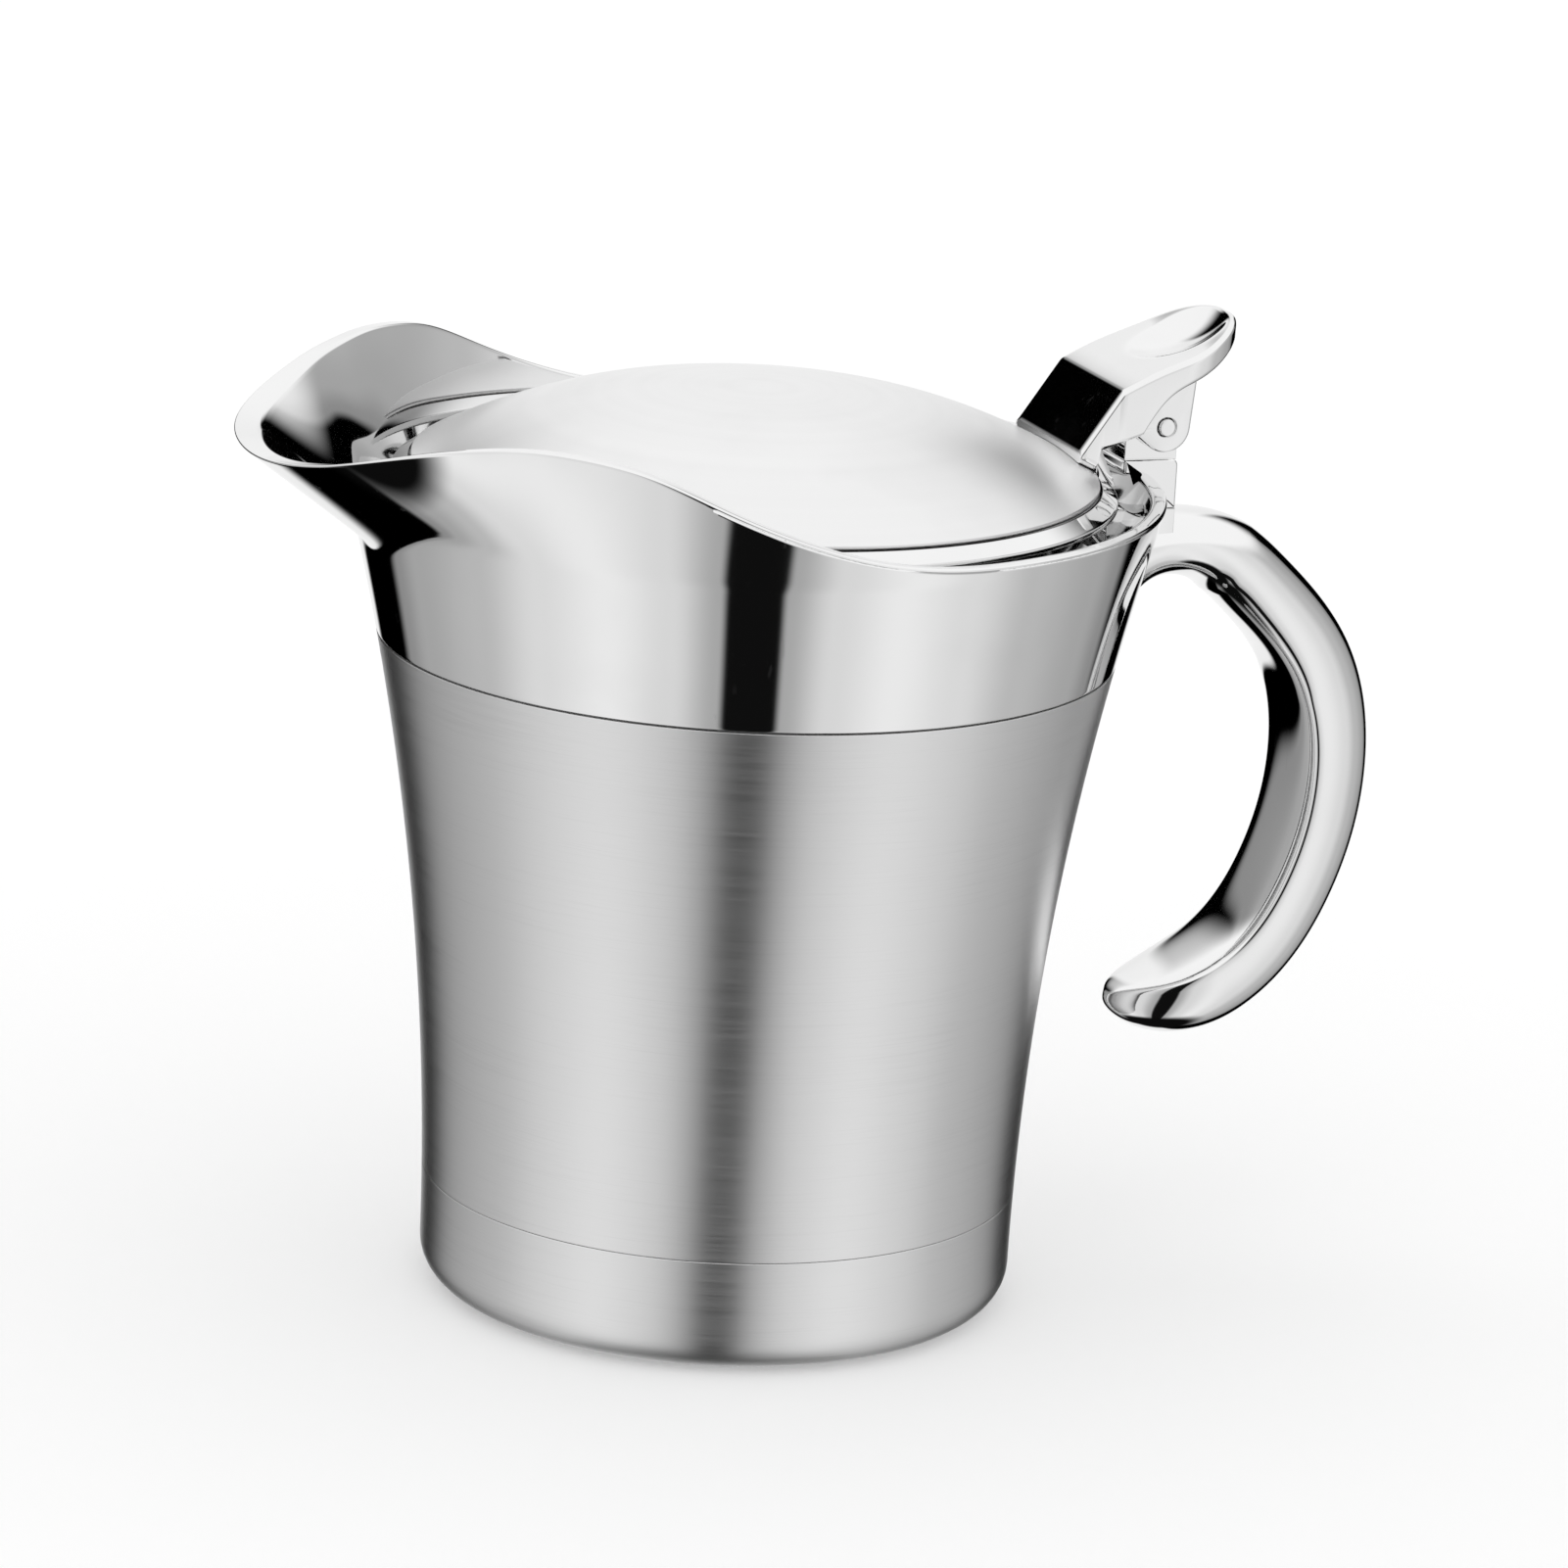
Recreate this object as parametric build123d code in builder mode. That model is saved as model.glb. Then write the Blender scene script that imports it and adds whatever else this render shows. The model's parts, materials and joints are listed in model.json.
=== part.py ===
"""Insulated sauce server: a double-walled steel jug with a spouted collar, an open
handle and a domed lid on a pinned hinge. Millimetres, +Z up, +X towards the handle,
origin on the jug's axis in the plane it stands on."""

import os
from math import cos, pi, radians, sin, sqrt, tan

from build123d import *

os.makedirs("parts", exist_ok=True)

# Heights of the jug and radii of its flared side
GROOVE_Z = 15.0
SEAM_Z = 85.0
RIM_Z = 106.0
COLLAR_H = RIM_Z - SEAM_Z
GROOVE_R = 38.0
SEAM_R = 46.6
SIDE_BOW = 1.6

# Sheet thicknesses and the clearance of pieces that are welded or pressed together
BODY_WALL = 0.8
LINER_WALL = 0.8
CUP_WALL = 0.9
COLLAR_WALL = 2.0
LID_WALL = 0.8
SEAT_CLEARANCE = 0.05
LAP_LENGTH = 5.0
SEAM_BEVEL = 0.25

# Base cup
BASE_EDGE = 5.0
RING_R = 25.0
RING_W = 3.0
RING_RISE = 0.8

# Inner liner
LINER_GAP = 4.2
LINER_FLOOR_Z = 8.0
LINER_EDGE = 9.0
LINER_NECK = 7.0

# Collar: the round back ends where the sides run off into the spout
ROUND_ANGLE = 80.0
RIM_BEVEL = 0.5
NECK_WALL = 0.7
NECK_RISE = 0.6

# Saddle of the rim seen from the side: level behind this X, then stations forward of the axis
# as shares of the round rim's radius, with their rise as a share of the collar's height
RIM_LEVEL_X = 12.0
RIM_STATIONS = (
    (0.213, 0.143),
    (0.542, 0.457),
    (0.832, 0.590),
    (1.103, 0.424),
    (1.277, 0.248),
    (1.509, 0.171),
)

# Collar sections: height above the seam as a share of the collar's height, reach of the spout
# past the round side, and how full the sides and the nose are against a plain circle
SPOUT_SECTIONS = (
    (0.0, 0.0, 1.0, 1.0),
    (0.333, 0.0, 1.0, 1.0),
    (0.667, 1.3, 0.96, 0.96),
    (1.0, 7.7, 0.92, 0.94),
    (1.286, 15.6, 0.71, 0.76),
    (1.714, 18.6, 0.54, 0.60),
)

# Lid: a dome on a dished pan, whose flange shows round the dome inside the collar's mouth
MOUTH_GAP = 4.1
FLANGE_W = 2.4
DOME_RISE = 1.4
DOME_H = 10.0
DOME_LIP = 0.6
CROWN_SHARE = 0.46
BROW_SHARE = (0.675, 0.715)
FLANGE_DROP = 0.5
FLANGE_LEDGE = 0.2
PAN_INSET = 4.6
PAN_DEPTH = 4.0

# Hinge: pin behind the rim, tongue on a bracket that hooks over the rim, and lugs beside it
PIN_OUT = 0.6
PIN_RISE = 6.4
PIN_R = 1.1
PIN_PROUD = 0.3
PIN_BEVEL = 0.24
PIN_CLEARANCE = 0.05
LUG_R = 3.3
LUG_THICK = 2.0
TONGUE_R = 2.6
TONGUE_W = 11.6
TONGUE_CLEARANCE = 0.2
BRACKET_W = 13.0
BRACKET_RISE = 1.9
BRACKET_HOOK = 4.8
BRACKET_DROP = 4.5
STOP_DROP = 0.8

# Thumb lever, measured from the pin: front edge, brow, thumb end and underside
LEVER_W = 21.0
LEVER_FRONT = (-12.3, -1.9)
LEVER_BROW = (-7.2, 5.4)
LEVER_TOP = ((-1.2, 8.1), (3.6, 9.9), (7.6, 12.0))
LEVER_END = (11.6, 14.0)
LEVER_UNDER = ((7.6, 8.8), (3.6, 6.6), (-1.6, 3.3))
LEVER_HEEL = (-4.2, -0.5)
LUG_ROOTS = ((3.9, 6.8), (0.0, 6.0), (-5.2, -0.2))
LEVER_THICK = 2.5
LEVER_REACH = 10.9
LEVER_TIP_FLAT = 2.0
LEVER_BEVEL = 0.5
FOOT_THICK = 2.0
FOOT_BACK = 0.8
FOOT_SET = 1.0
FOOT_RISE = 0.5

# Handle: middle line from its root in shares of reach and drop, then its section
ROOT_DROP = 12.5
ROOT_SAG = 1.0
HANDLE_OUT = 33.0
HANDLE_DROP = 58.7
HANDLE_LINE = (
    (0.22, 0.039),
    (0.43, 0.020),
    (0.635, -0.063),
    (0.908, -0.246),
    (0.992, -0.490),
    (0.892, -0.741),
    (0.668, -0.927),
    (0.388, -1.006),
    (0.124, -0.998),
)
HANDLE_STATIONS = (0, 0.05, 0.1, 0.16, 0.24, 0.38, 0.52, 0.67, 0.79, 0.87, 0.93, 0.965, 0.985, 0.997)
HANDLE_W = 15.3
HANDLE_THICK = 10.3
HANDLE_EDGE = 2.0
HANDLE_KEEL = 3.2
INNER_FULL = 0.92
INNER_PINCH = 0.47
EDGE_FULL = 0.1
EDGE_PINCH = 0.35
OUTER_FULL = (0.6, 0.55)
KEEL_SHARE = 0.42
ROOT_SHARE = 0.12
ROOT_WAIST = 1.9
WAIST_SHARE = 0.2
ROOT_FLARE = 2.6
ROOT_SPREAD = 0.8
ROOT_BURIED = 3.0
TIP_THIN_SHARE = 0.16
TIP_NARROW_SHARE = 0.14
PAD_DEPTH = 6.0


def side_radius(z):
    """Outer radius of the flared side at height z: a shallow bow from groove to seam, carried on."""
    t = (z - GROOVE_Z) / (SEAM_Z - GROOVE_Z)
    return GROOVE_R + (SEAM_R - GROOVE_R) * t - 4 * SIDE_BOW * t * (1 - t)


def side_point(z, inset):
    """Point of the side's section at height z, moved in by inset."""
    return (side_radius(z) - inset, z)


def side_arc(z0, z1, inset):
    """Arc of the side's section between two heights, moved in by inset."""
    middle = (z0 + z1) / 2
    return ThreePointArc(side_point(z0, inset), side_point(middle, inset), side_point(z1, inset))


def side_band(z0, z1, outer, inner):
    """Section of a band of sheet between two insets of the side, from height z0 to z1."""
    with BuildLine() as outline:
        side_arc(z0, z1, outer)
        Line(side_point(z1, outer), side_point(z1, inner))
        side_arc(z0, z1, inner)
        Line(side_point(z0, inner), side_point(z0, outer))
    make_face(outline.edges())


def cup_section(floor_z, top_z, inset, edge, mode=Mode.ADD):
    """Half section of a solid cup with a rounded bottom edge, from the axis out to the side."""
    corner_z = floor_z + edge
    corner = side_point(corner_z, inset)
    turn = edge / sqrt(2)
    with BuildLine() as outline:
        Line((0, floor_z), (corner[0] - edge, floor_z))
        ThreePointArc(
            (corner[0] - edge, floor_z),
            (corner[0] - edge + turn, corner_z - turn),
            corner,
        )
        side_arc(corner_z, top_z, inset)
        Line(side_point(top_z, inset), (0, top_z))
        Line((0, top_z), (0, floor_z))
    make_face(outline.edges(), mode=mode)


def side_slope(z):
    """Outward run of the side for each unit of height at z."""
    t = (z - GROOVE_Z) / (SEAM_Z - GROOVE_Z)
    return (SEAM_R - GROOVE_R - 4 * SIDE_BOW * (1 - 2 * t)) / (SEAM_Z - GROOVE_Z)


def collar_inset(z):
    """Level distance through the collar's wall where the side is round."""
    return COLLAR_WALL * sqrt(1 + side_slope(z) ** 2)


def neck_section(inset0, inset1, z0, z1, z2, mode=Mode.ADD):
    """Half section that flares from one inset at z0 to another at z1 and follows it to z2."""
    with BuildLine() as outline:
        Line(side_point(z0, inset0), side_point(z1, inset1))
        side_arc(z1, z2, inset1)
        Polyline(side_point(z2, inset1), (0, z2), (0, z0), side_point(z0, inset0))
    make_face(outline.edges(), mode=mode)


def mouth_outline(index, wall):
    """Outline of the mouth at one section: a round back, then sides that run out to the nose."""
    rise, reach, side_full, nose_full = SPOUT_SECTIONS[index]
    below = SPOUT_SECTIONS[max(index - 1, 0)]
    above = SPOUT_SECTIONS[min(index + 1, len(SPOUT_SECTIONS) - 1)]
    z = SEAM_Z + rise * COLLAR_H
    nose_slope = side_slope(z) + (above[1] - below[1]) / (above[0] - below[0]) / COLLAR_H
    radius = side_radius(z) - wall * sqrt(1 + side_slope(z) ** 2)
    nose = side_radius(z) + reach - wall * sqrt(1 + nose_slope**2)
    turn = radians(ROUND_ANGLE)
    arm = 4 / 3 * tan((pi - turn) / 4) * radius
    for side in (1, -1):
        start = Vector(radius * cos(turn), side * radius * sin(turn))
        along = start + Vector(-sin(turn), side * cos(turn)) * arm * side_full
        Bezier(start, along, (-nose, side * arm * nose_full), (-nose, 0))
    CenterArc((0, 0), radius, -ROUND_ANGLE, 2 * ROUND_ANGLE)


def dome_arch(radius, base_z, height):
    """Half section of the lid's dome, from the crown down to its edge."""
    crown_z = base_z + height
    crown_end = (CROWN_SHARE * radius, crown_z)
    brow = (BROW_SHARE[0] * radius, base_z + BROW_SHARE[1] * height)
    return Bezier((0, crown_z), crown_end, brow, (radius, base_z))


def handle_outline(s):
    """Section of the handle at share s of its length: keeled below at the root, flat further on."""
    root = max(1 - s / ROOT_SHARE, 0) ** 2
    keel = cos(pi / 2 * min(s / KEEL_SHARE, 1))
    waist = ROOT_WAIST * sin(pi * min(s / WAIST_SHARE, 1))
    tip_thin = sqrt(1 - (max(s - 1 + TIP_THIN_SHARE, 0) / TIP_THIN_SHARE) ** 2)
    tip_narrow = sqrt(1 - (max(s - 1 + TIP_NARROW_SHARE, 0) / TIP_NARROW_SHARE) ** 2)
    h = (HANDLE_THICK - waist) / 2 * tip_thin + ROOT_FLARE * root
    w = HANDLE_W / 2 * tip_narrow + ROOT_SPREAD * root
    corner = (HANDLE_EDGE + HANDLE_KEEL * keel) * tip_thin
    for side in (1, -1):
        widest = (side * w, corner - h)
        inner_end = (side * w * (INNER_FULL - INNER_PINCH * keel), -h)
        edge_start = (side * w, corner * (EDGE_FULL + EDGE_PINCH * keel) - h)
        Bezier((0, -h), inner_end, edge_start, widest)
        Bezier(widest, (side * w, OUTER_FULL[1] * h), (side * OUTER_FULL[0] * w, h), (0, h))


# Outer body: the brushed sleeve between the base cup and the collar
with BuildPart() as outer_body:
    with BuildSketch(Plane.XZ) as body_section:
        side_band(GROOVE_Z, SEAM_Z, 0, BODY_WALL)
        outer_corners = [
            body_section.vertices().sort_by_distance(side_point(z, 0) + (0,))[0]
            for z in (GROOVE_Z, SEAM_Z)
        ]
        chamfer(outer_corners, SEAM_BEVEL)
    revolve(axis=Axis.Z)
outer_body.part.label = "outer_body"

# Base cup: a flat pan with a pressed ring underneath, whose lip fits up inside the sleeve
lap_wall_inset = BODY_WALL + SEAT_CLEARANCE
with BuildPart() as base_cup:
    with BuildSketch(Plane.XZ):
        cup_section(0, GROOVE_Z - SEAT_CLEARANCE, 0, BASE_EDGE)
        cup_section(CUP_WALL, GROOVE_Z, CUP_WALL, BASE_EDGE - CUP_WALL, Mode.SUBTRACT)
        side_band(
            GROOVE_Z - LAP_LENGTH,
            GROOVE_Z + LAP_LENGTH,
            lap_wall_inset,
            lap_wall_inset + CUP_WALL,
        )
        with Locations((RING_R, CUP_WALL + RING_RISE / 2)):
            Rectangle(RING_W + 2 * CUP_WALL, RING_RISE)
        with Locations((RING_R, RING_RISE / 2)):
            Rectangle(RING_W, RING_RISE, mode=Mode.SUBTRACT)
    revolve(axis=Axis.Z)
base_cup.part.label = "base_cup"

# Inner liner: the drawn sauce well, flared at the top to lap inside the collar's neck
liner_inset = BODY_WALL + LINER_GAP
lap_inset = collar_inset(SEAM_Z) + SEAT_CLEARANCE
liner_lap_z = SEAM_Z - LAP_LENGTH
liner_bend_z = liner_lap_z - LINER_NECK
liner_top_z = SEAM_Z + LAP_LENGTH / 4
with BuildPart() as inner_liner:
    with BuildSketch(Plane.XZ):
        cup_section(LINER_FLOOR_Z, liner_bend_z, liner_inset, LINER_EDGE)
        neck_section(liner_inset, lap_inset, liner_bend_z, liner_lap_z, liner_top_z)
        inner_inset = liner_inset + LINER_WALL
        cup_section(
            LINER_FLOOR_Z + LINER_WALL,
            liner_bend_z,
            inner_inset,
            LINER_EDGE - LINER_WALL,
            Mode.SUBTRACT,
        )
        neck_section(
            inner_inset,
            lap_inset + LINER_WALL,
            liner_bend_z,
            liner_lap_z,
            liner_top_z,
            Mode.SUBTRACT,
        )
    revolve(axis=Axis.Z)
inner_liner.part.label = "inner_liner"

# Spouted collar: a lofted wall, trimmed along the saddle of the rim, with a neck below the seam
rim_start = (RIM_LEVEL_X, RIM_Z)
rim_r = side_radius(RIM_Z)
rim_points = [(-out * rim_r, RIM_Z + rise * COLLAR_H) for out, rise in RIM_STATIONS]
cutter_back = (SEAM_R + HANDLE_OUT, RIM_Z)
cutter_top = SEAM_Z + 2 * SPOUT_SECTIONS[-1][0] * COLLAR_H
with BuildPart() as spout_collar:
    for index, section in enumerate(SPOUT_SECTIONS):
        with BuildSketch(Plane.XY.offset(SEAM_Z + section[0] * COLLAR_H)):
            with BuildLine():
                mouth_outline(index, 0)
            make_face()
    loft()
    for index, section in enumerate(SPOUT_SECTIONS):
        with BuildSketch(Plane.XY.offset(SEAM_Z + section[0] * COLLAR_H)):
            with BuildLine():
                mouth_outline(index, COLLAR_WALL)
            make_face()
    loft(mode=Mode.SUBTRACT)
    with BuildSketch(Plane.XZ):
        with BuildLine():
            Line(cutter_back, rim_start)
            Spline(rim_start, *rim_points, tangents=((-1, 0), (-1, 0)))
            Polyline(
                rim_points[-1],
                (rim_points[-1][0], cutter_top),
                (cutter_back[0], cutter_top),
                cutter_back,
            )
        make_face()
    extrude(amount=2 * SEAM_R, both=True, mode=Mode.SUBTRACT)
    rim_faces = spout_collar.faces().filter_by(
        lambda f: f.center().Z > RIM_Z - COLLAR_WALL and f.normal_at().Z > 0.5
    )
    rim_edges = rim_faces.edges().filter_by(lambda e: e.length > 2 * COLLAR_WALL)
    chamfer(rim_edges, RIM_BEVEL)
    with BuildSketch(Plane.XZ):
        side_band(
            SEAM_Z - LAP_LENGTH,
            SEAM_Z + NECK_RISE,
            lap_wall_inset,
            lap_wall_inset + NECK_WALL,
        )
    revolve(axis=Axis.Z)
spout_collar.part.label = "spout_collar"

# Lid dome: a spun cap with a short turned-down edge
flange_r = rim_r - collar_inset(RIM_Z) - MOUTH_GAP
dome_r = flange_r - FLANGE_W
dome_z = RIM_Z + DOME_RISE
ledge_z = dome_z - DOME_LIP
flange_z = RIM_Z - FLANGE_DROP
with BuildPart() as lid_dome:
    with BuildSketch(Plane.XZ):
        with BuildLine():
            outer_arch = dome_arch(dome_r, dome_z, DOME_H)
            inner_arch = dome_arch(dome_r - LID_WALL, dome_z - LID_WALL / 2, DOME_H - LID_WALL / 2)
            Line(outer_arch @ 0, inner_arch @ 0)
            Polyline(outer_arch @ 1, (dome_r, ledge_z), (dome_r - LID_WALL, ledge_z), inner_arch @ 1)
        make_face()
    revolve(axis=Axis.Z)
lid_dome.part.label = "lid_dome"

# Lid pan: a shallow dish that closes the dome from below, with a sloping flange
pan_r = dome_r - PAN_INSET
pan_floor_z = ledge_z - PAN_DEPTH
ledge_r = dome_r + FLANGE_LEDGE
with BuildPart() as lid_pan:
    with BuildSketch(Plane.XZ):
        with BuildLine():
            Polyline(
                (0, pan_floor_z),
                (pan_r, pan_floor_z),
                (pan_r, ledge_z - LID_WALL),
                (ledge_r, ledge_z - LID_WALL),
                (flange_r, flange_z - LID_WALL),
                (flange_r, flange_z),
                (ledge_r, ledge_z),
                (pan_r - LID_WALL, ledge_z),
                (pan_r - LID_WALL, pan_floor_z + LID_WALL),
                (0, pan_floor_z + LID_WALL),
                close=True,
            )
        make_face()
    revolve(axis=Axis.Z)
lid_pan.part.label = "lid_pan"

# Hinge pin: fixed in the tongue, running in the lever's lugs
pin_x = rim_r + PIN_OUT
pin_z = RIM_Z + PIN_RISE
lug_in = TONGUE_W / 2 + TONGUE_CLEARANCE
lug_out = lug_in + LUG_THICK
pin_place = Plane((pin_x, 0, pin_z), x_dir=(1, 0, 0), z_dir=(0, -1, 0))
with BuildPart() as hinge_pin:
    with BuildSketch(pin_place):
        Circle(PIN_R)
    extrude(amount=lug_out + PIN_PROUD, both=True)
    chamfer(hinge_pin.edges(), PIN_BEVEL)
hinge_pin.part.label = "hinge_pin"

# Hinge bracket: a block behind the collar, hooked over the rim, with the tongue on top and a step
# in front of it that the shut lever comes down on
bracket_top = BRACKET_RISE - PIN_RISE
bracket_foot = -BRACKET_DROP - PIN_RISE
hook_z = SEAT_CLEARANCE - PIN_RISE
with BuildPart() as hinge_bracket:
    with BuildSketch(pin_place):
        with BuildLine():
            Polyline(
                (-BRACKET_HOOK, hook_z),
                (-BRACKET_HOOK, bracket_top),
                (TONGUE_R, bracket_top),
                (TONGUE_R, bracket_foot),
                (-TONGUE_R, bracket_foot),
                (-TONGUE_R, hook_z),
                close=True,
            )
        make_face()
    extrude(amount=BRACKET_W / 2, both=True)
    with BuildSketch(pin_place):
        Circle(TONGUE_R)
        with BuildLine():
            Polyline(
                (-BRACKET_HOOK, bracket_top),
                (-BRACKET_HOOK, -STOP_DROP),
                (0, -STOP_DROP),
                (0, 0),
                (TONGUE_R, 0),
                (TONGUE_R, bracket_top),
                close=True,
            )
        make_face()
    extrude(amount=TONGUE_W / 2, both=True)
    with BuildSketch(pin_place):
        Circle(PIN_R + SEAT_CLEARANCE)
    extrude(amount=BRACKET_W, both=True, mode=Mode.SUBTRACT)
    with BuildSketch(Plane.XZ):
        side_band(SEAM_Z, RIM_Z + SEAT_CLEARANCE, -SEAT_CLEARANCE, BRACKET_W)
    revolve(axis=Axis.Z, mode=Mode.SUBTRACT)
hinge_bracket.part.label = "hinge_bracket"

# Thumb lever: a cast wedge on the lid's rear edge, running back to the thumb end
with BuildPart() as thumb_lever:
    foot_x = flange_r - FOOT_BACK - pin_x
    foot_z = flange_z - pin_z
    neck_x = LEVER_FRONT[0] + FOOT_THICK
    lever_low = (LEVER_END[0], LEVER_END[1] - LEVER_THICK)
    with BuildSketch(pin_place):
        with BuildLine():
            Line(LEVER_FRONT, LEVER_BROW)
            Spline(LEVER_BROW, *LEVER_TOP, LEVER_END)
            Line(LEVER_END, lever_low)
            Spline(lever_low, *LEVER_UNDER, LEVER_HEEL)
            Polyline(
                LEVER_HEEL,
                (neck_x, LEVER_FRONT[1] - FOOT_RISE),
                (foot_x, foot_z),
                (LEVER_FRONT[0] + FOOT_SET, foot_z),
                LEVER_FRONT,
            )
        make_face()
    extrude(amount=LEVER_W / 2, both=True)
    with BuildSketch(Plane.XY.offset(SEAM_Z)):
        with Locations((pin_x, 0)):
            plan = Rectangle(2 * LEVER_REACH, LEVER_W)
        fillet(plan.vertices().group_by(Axis.X)[-1], (LEVER_W - LEVER_TIP_FLAT) / 2)
    extrude(amount=2 * (pin_z - SEAM_Z), mode=Mode.INTERSECT)
    front_face = thumb_lever.faces().sort_by(Axis.X)[0]
    chamfer(front_face.edges(), LEVER_BEVEL)
    for side in (1, -1):
        with BuildSketch(pin_place.offset(side * lug_in)):
            with BuildLine():
                CenterArc((0, 0), LUG_R, 0, 360)
                Polyline(*LUG_ROOTS)
            make_hull()
        extrude(amount=side * LUG_THICK)
    with BuildSketch(pin_place):
        Circle(PIN_R + PIN_CLEARANCE)
    extrude(amount=LEVER_W, both=True, mode=Mode.SUBTRACT)
    with BuildSketch(Plane.XZ):
        with BuildLine():
            arch = dome_arch(dome_r + SEAT_CLEARANCE, dome_z, DOME_H + SEAT_CLEARANCE)
            Polyline(
                arch @ 1,
                (dome_r + SEAT_CLEARANCE, ledge_z + SEAT_CLEARANCE),
                (ledge_r, ledge_z + SEAT_CLEARANCE),
                (flange_r + SEAT_CLEARANCE, flange_z + SEAT_CLEARANCE),
                (flange_r + SEAT_CLEARANCE, SEAM_Z),
                (0, SEAM_Z),
                arch @ 0,
            )
        make_face()
    revolve(axis=Axis.Z, mode=Mode.SUBTRACT)
thumb_lever.part.label = "thumb_lever"

# Handle: an open hook lofted along its middle line, flared at the root and rounded at the tip
root_z = RIM_Z - ROOT_DROP
root_x = side_radius(root_z)
handle_points = [(root_x + out * HANDLE_OUT, 0, root_z + down * HANDLE_DROP) for out, down in HANDLE_LINE]
handle_line = Spline((root_x - ROOT_BURIED, 0, root_z - ROOT_SAG), *handle_points)
pad_z = RIM_Z - BRACKET_DROP
pad_back = pin_x + TONGUE_R
with BuildPart() as handle:
    for s in HANDLE_STATIONS:
        with BuildSketch(Plane(handle_line @ s, x_dir=(0, 1, 0), z_dir=handle_line % s)):
            with BuildLine():
                handle_outline(s)
            make_face()
    loft()
    with BuildSketch(Plane.XY.offset(pad_z)):
        with Locations(((root_x - ROOT_BURIED + pad_back) / 2, 0)):
            Rectangle(pad_back - root_x + ROOT_BURIED, BRACKET_W)
    extrude(amount=-PAD_DEPTH)
    with BuildSketch(Plane.XZ):
        side_band(SEAM_Z - LAP_LENGTH, RIM_Z, -SEAT_CLEARANCE, BRACKET_W)
    revolve(axis=Axis.Z, mode=Mode.SUBTRACT)
handle.part.label = "handle"

export_step(outer_body.part, "parts/outer_body.step")
export_step(base_cup.part, "parts/base_cup.step")
export_step(inner_liner.part, "parts/inner_liner.step")
export_step(spout_collar.part, "parts/spout_collar.step")
export_step(lid_dome.part, "parts/lid_dome.step")
export_step(lid_pan.part, "parts/lid_pan.step")
export_step(hinge_pin.part, "parts/hinge_pin.step")
export_step(hinge_bracket.part, "parts/hinge_bracket.step")
export_step(thumb_lever.part, "parts/thumb_lever.step")
export_step(handle.part, "parts/handle.step")
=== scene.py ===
"""Insulated sauce server: a double-walled steel jug with a polished spouted collar, a domed
lid on a pinned hinge, a thumb lever and an open handle, with the studio it is shown in.
Lengths are metres, +Z is up and +X points to the handle, as in the frame that is loaded."""

import json
from math import cos, pi, radians, sin, sqrt

import bmesh
import bpy
import numpy as np
from bpy.props import FloatProperty, FloatVectorProperty, PointerProperty
from mathutils import Matrix, Vector


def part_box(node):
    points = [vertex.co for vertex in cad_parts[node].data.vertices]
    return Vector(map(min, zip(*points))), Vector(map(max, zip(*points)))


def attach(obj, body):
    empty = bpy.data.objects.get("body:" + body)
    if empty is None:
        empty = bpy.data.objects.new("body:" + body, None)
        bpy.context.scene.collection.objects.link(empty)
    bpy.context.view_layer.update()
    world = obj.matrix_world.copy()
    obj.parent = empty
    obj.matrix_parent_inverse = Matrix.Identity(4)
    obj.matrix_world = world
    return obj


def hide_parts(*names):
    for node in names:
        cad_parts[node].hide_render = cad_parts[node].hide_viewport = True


bl_info = {
    "name": "Insulated Sauce Server",
    "version": (1, 0, 0),
    "blender": (4, 5, 0),
    "location": "3D View > Sidebar > Sauce Server",
    "description": "Builds a double-walled steel sauce server and its studio",
    "category": "Add Mesh",
}

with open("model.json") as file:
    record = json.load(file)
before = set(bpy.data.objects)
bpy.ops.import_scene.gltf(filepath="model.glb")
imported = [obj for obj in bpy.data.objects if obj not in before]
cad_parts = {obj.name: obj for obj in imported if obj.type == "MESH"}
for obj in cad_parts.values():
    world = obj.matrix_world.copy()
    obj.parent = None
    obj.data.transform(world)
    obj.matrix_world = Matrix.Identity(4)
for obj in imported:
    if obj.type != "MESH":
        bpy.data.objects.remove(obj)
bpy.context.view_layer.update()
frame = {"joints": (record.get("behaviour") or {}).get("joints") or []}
MM = 0.001

# Sheet thicknesses and the clearance of pieces that are welded or pressed together
BODY_WALL = 0.8 * MM
LINER_WALL = 0.8 * MM
CUP_WALL = 0.9 * MM
LID_WALL = 0.8 * MM
SEAT_CLEARANCE = 0.05 * MM
LAP_LENGTH = 5.0 * MM
SEAM_ROUND = 0.15 * MM
SEAM_GAP = 0.12 * MM
SHEET_ROUND = 0.2 * MM

# Meshes: facets round a turned piece, the row beside a rounding in radii from its corner,
# the ring round a hole as a share of it, and the distance at which points are one
TURN_STEPS = 192
FINE_STEPS = 256
FLAT_FROM = 1.5
HOLE_SEAT = 1.1
WELD_DISTANCE = 0.0005 * MM

# Base cup and liner
BASE_EDGE = 5.0 * MM
RING_R = 25.0 * MM
RING_W = 3.0 * MM
RING_RISE = 0.8 * MM
CUP_SHOULDER = 0.5 * MM
LINER_GAP = 4.2 * MM
LINER_FLOOR_Z = 8.0 * MM
LINER_EDGE = 9.0 * MM
LINER_NECK = 7.0 * MM
LINER_BEND = 2.0 * MM
LINER_RISE = 1.25 * MM

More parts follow.
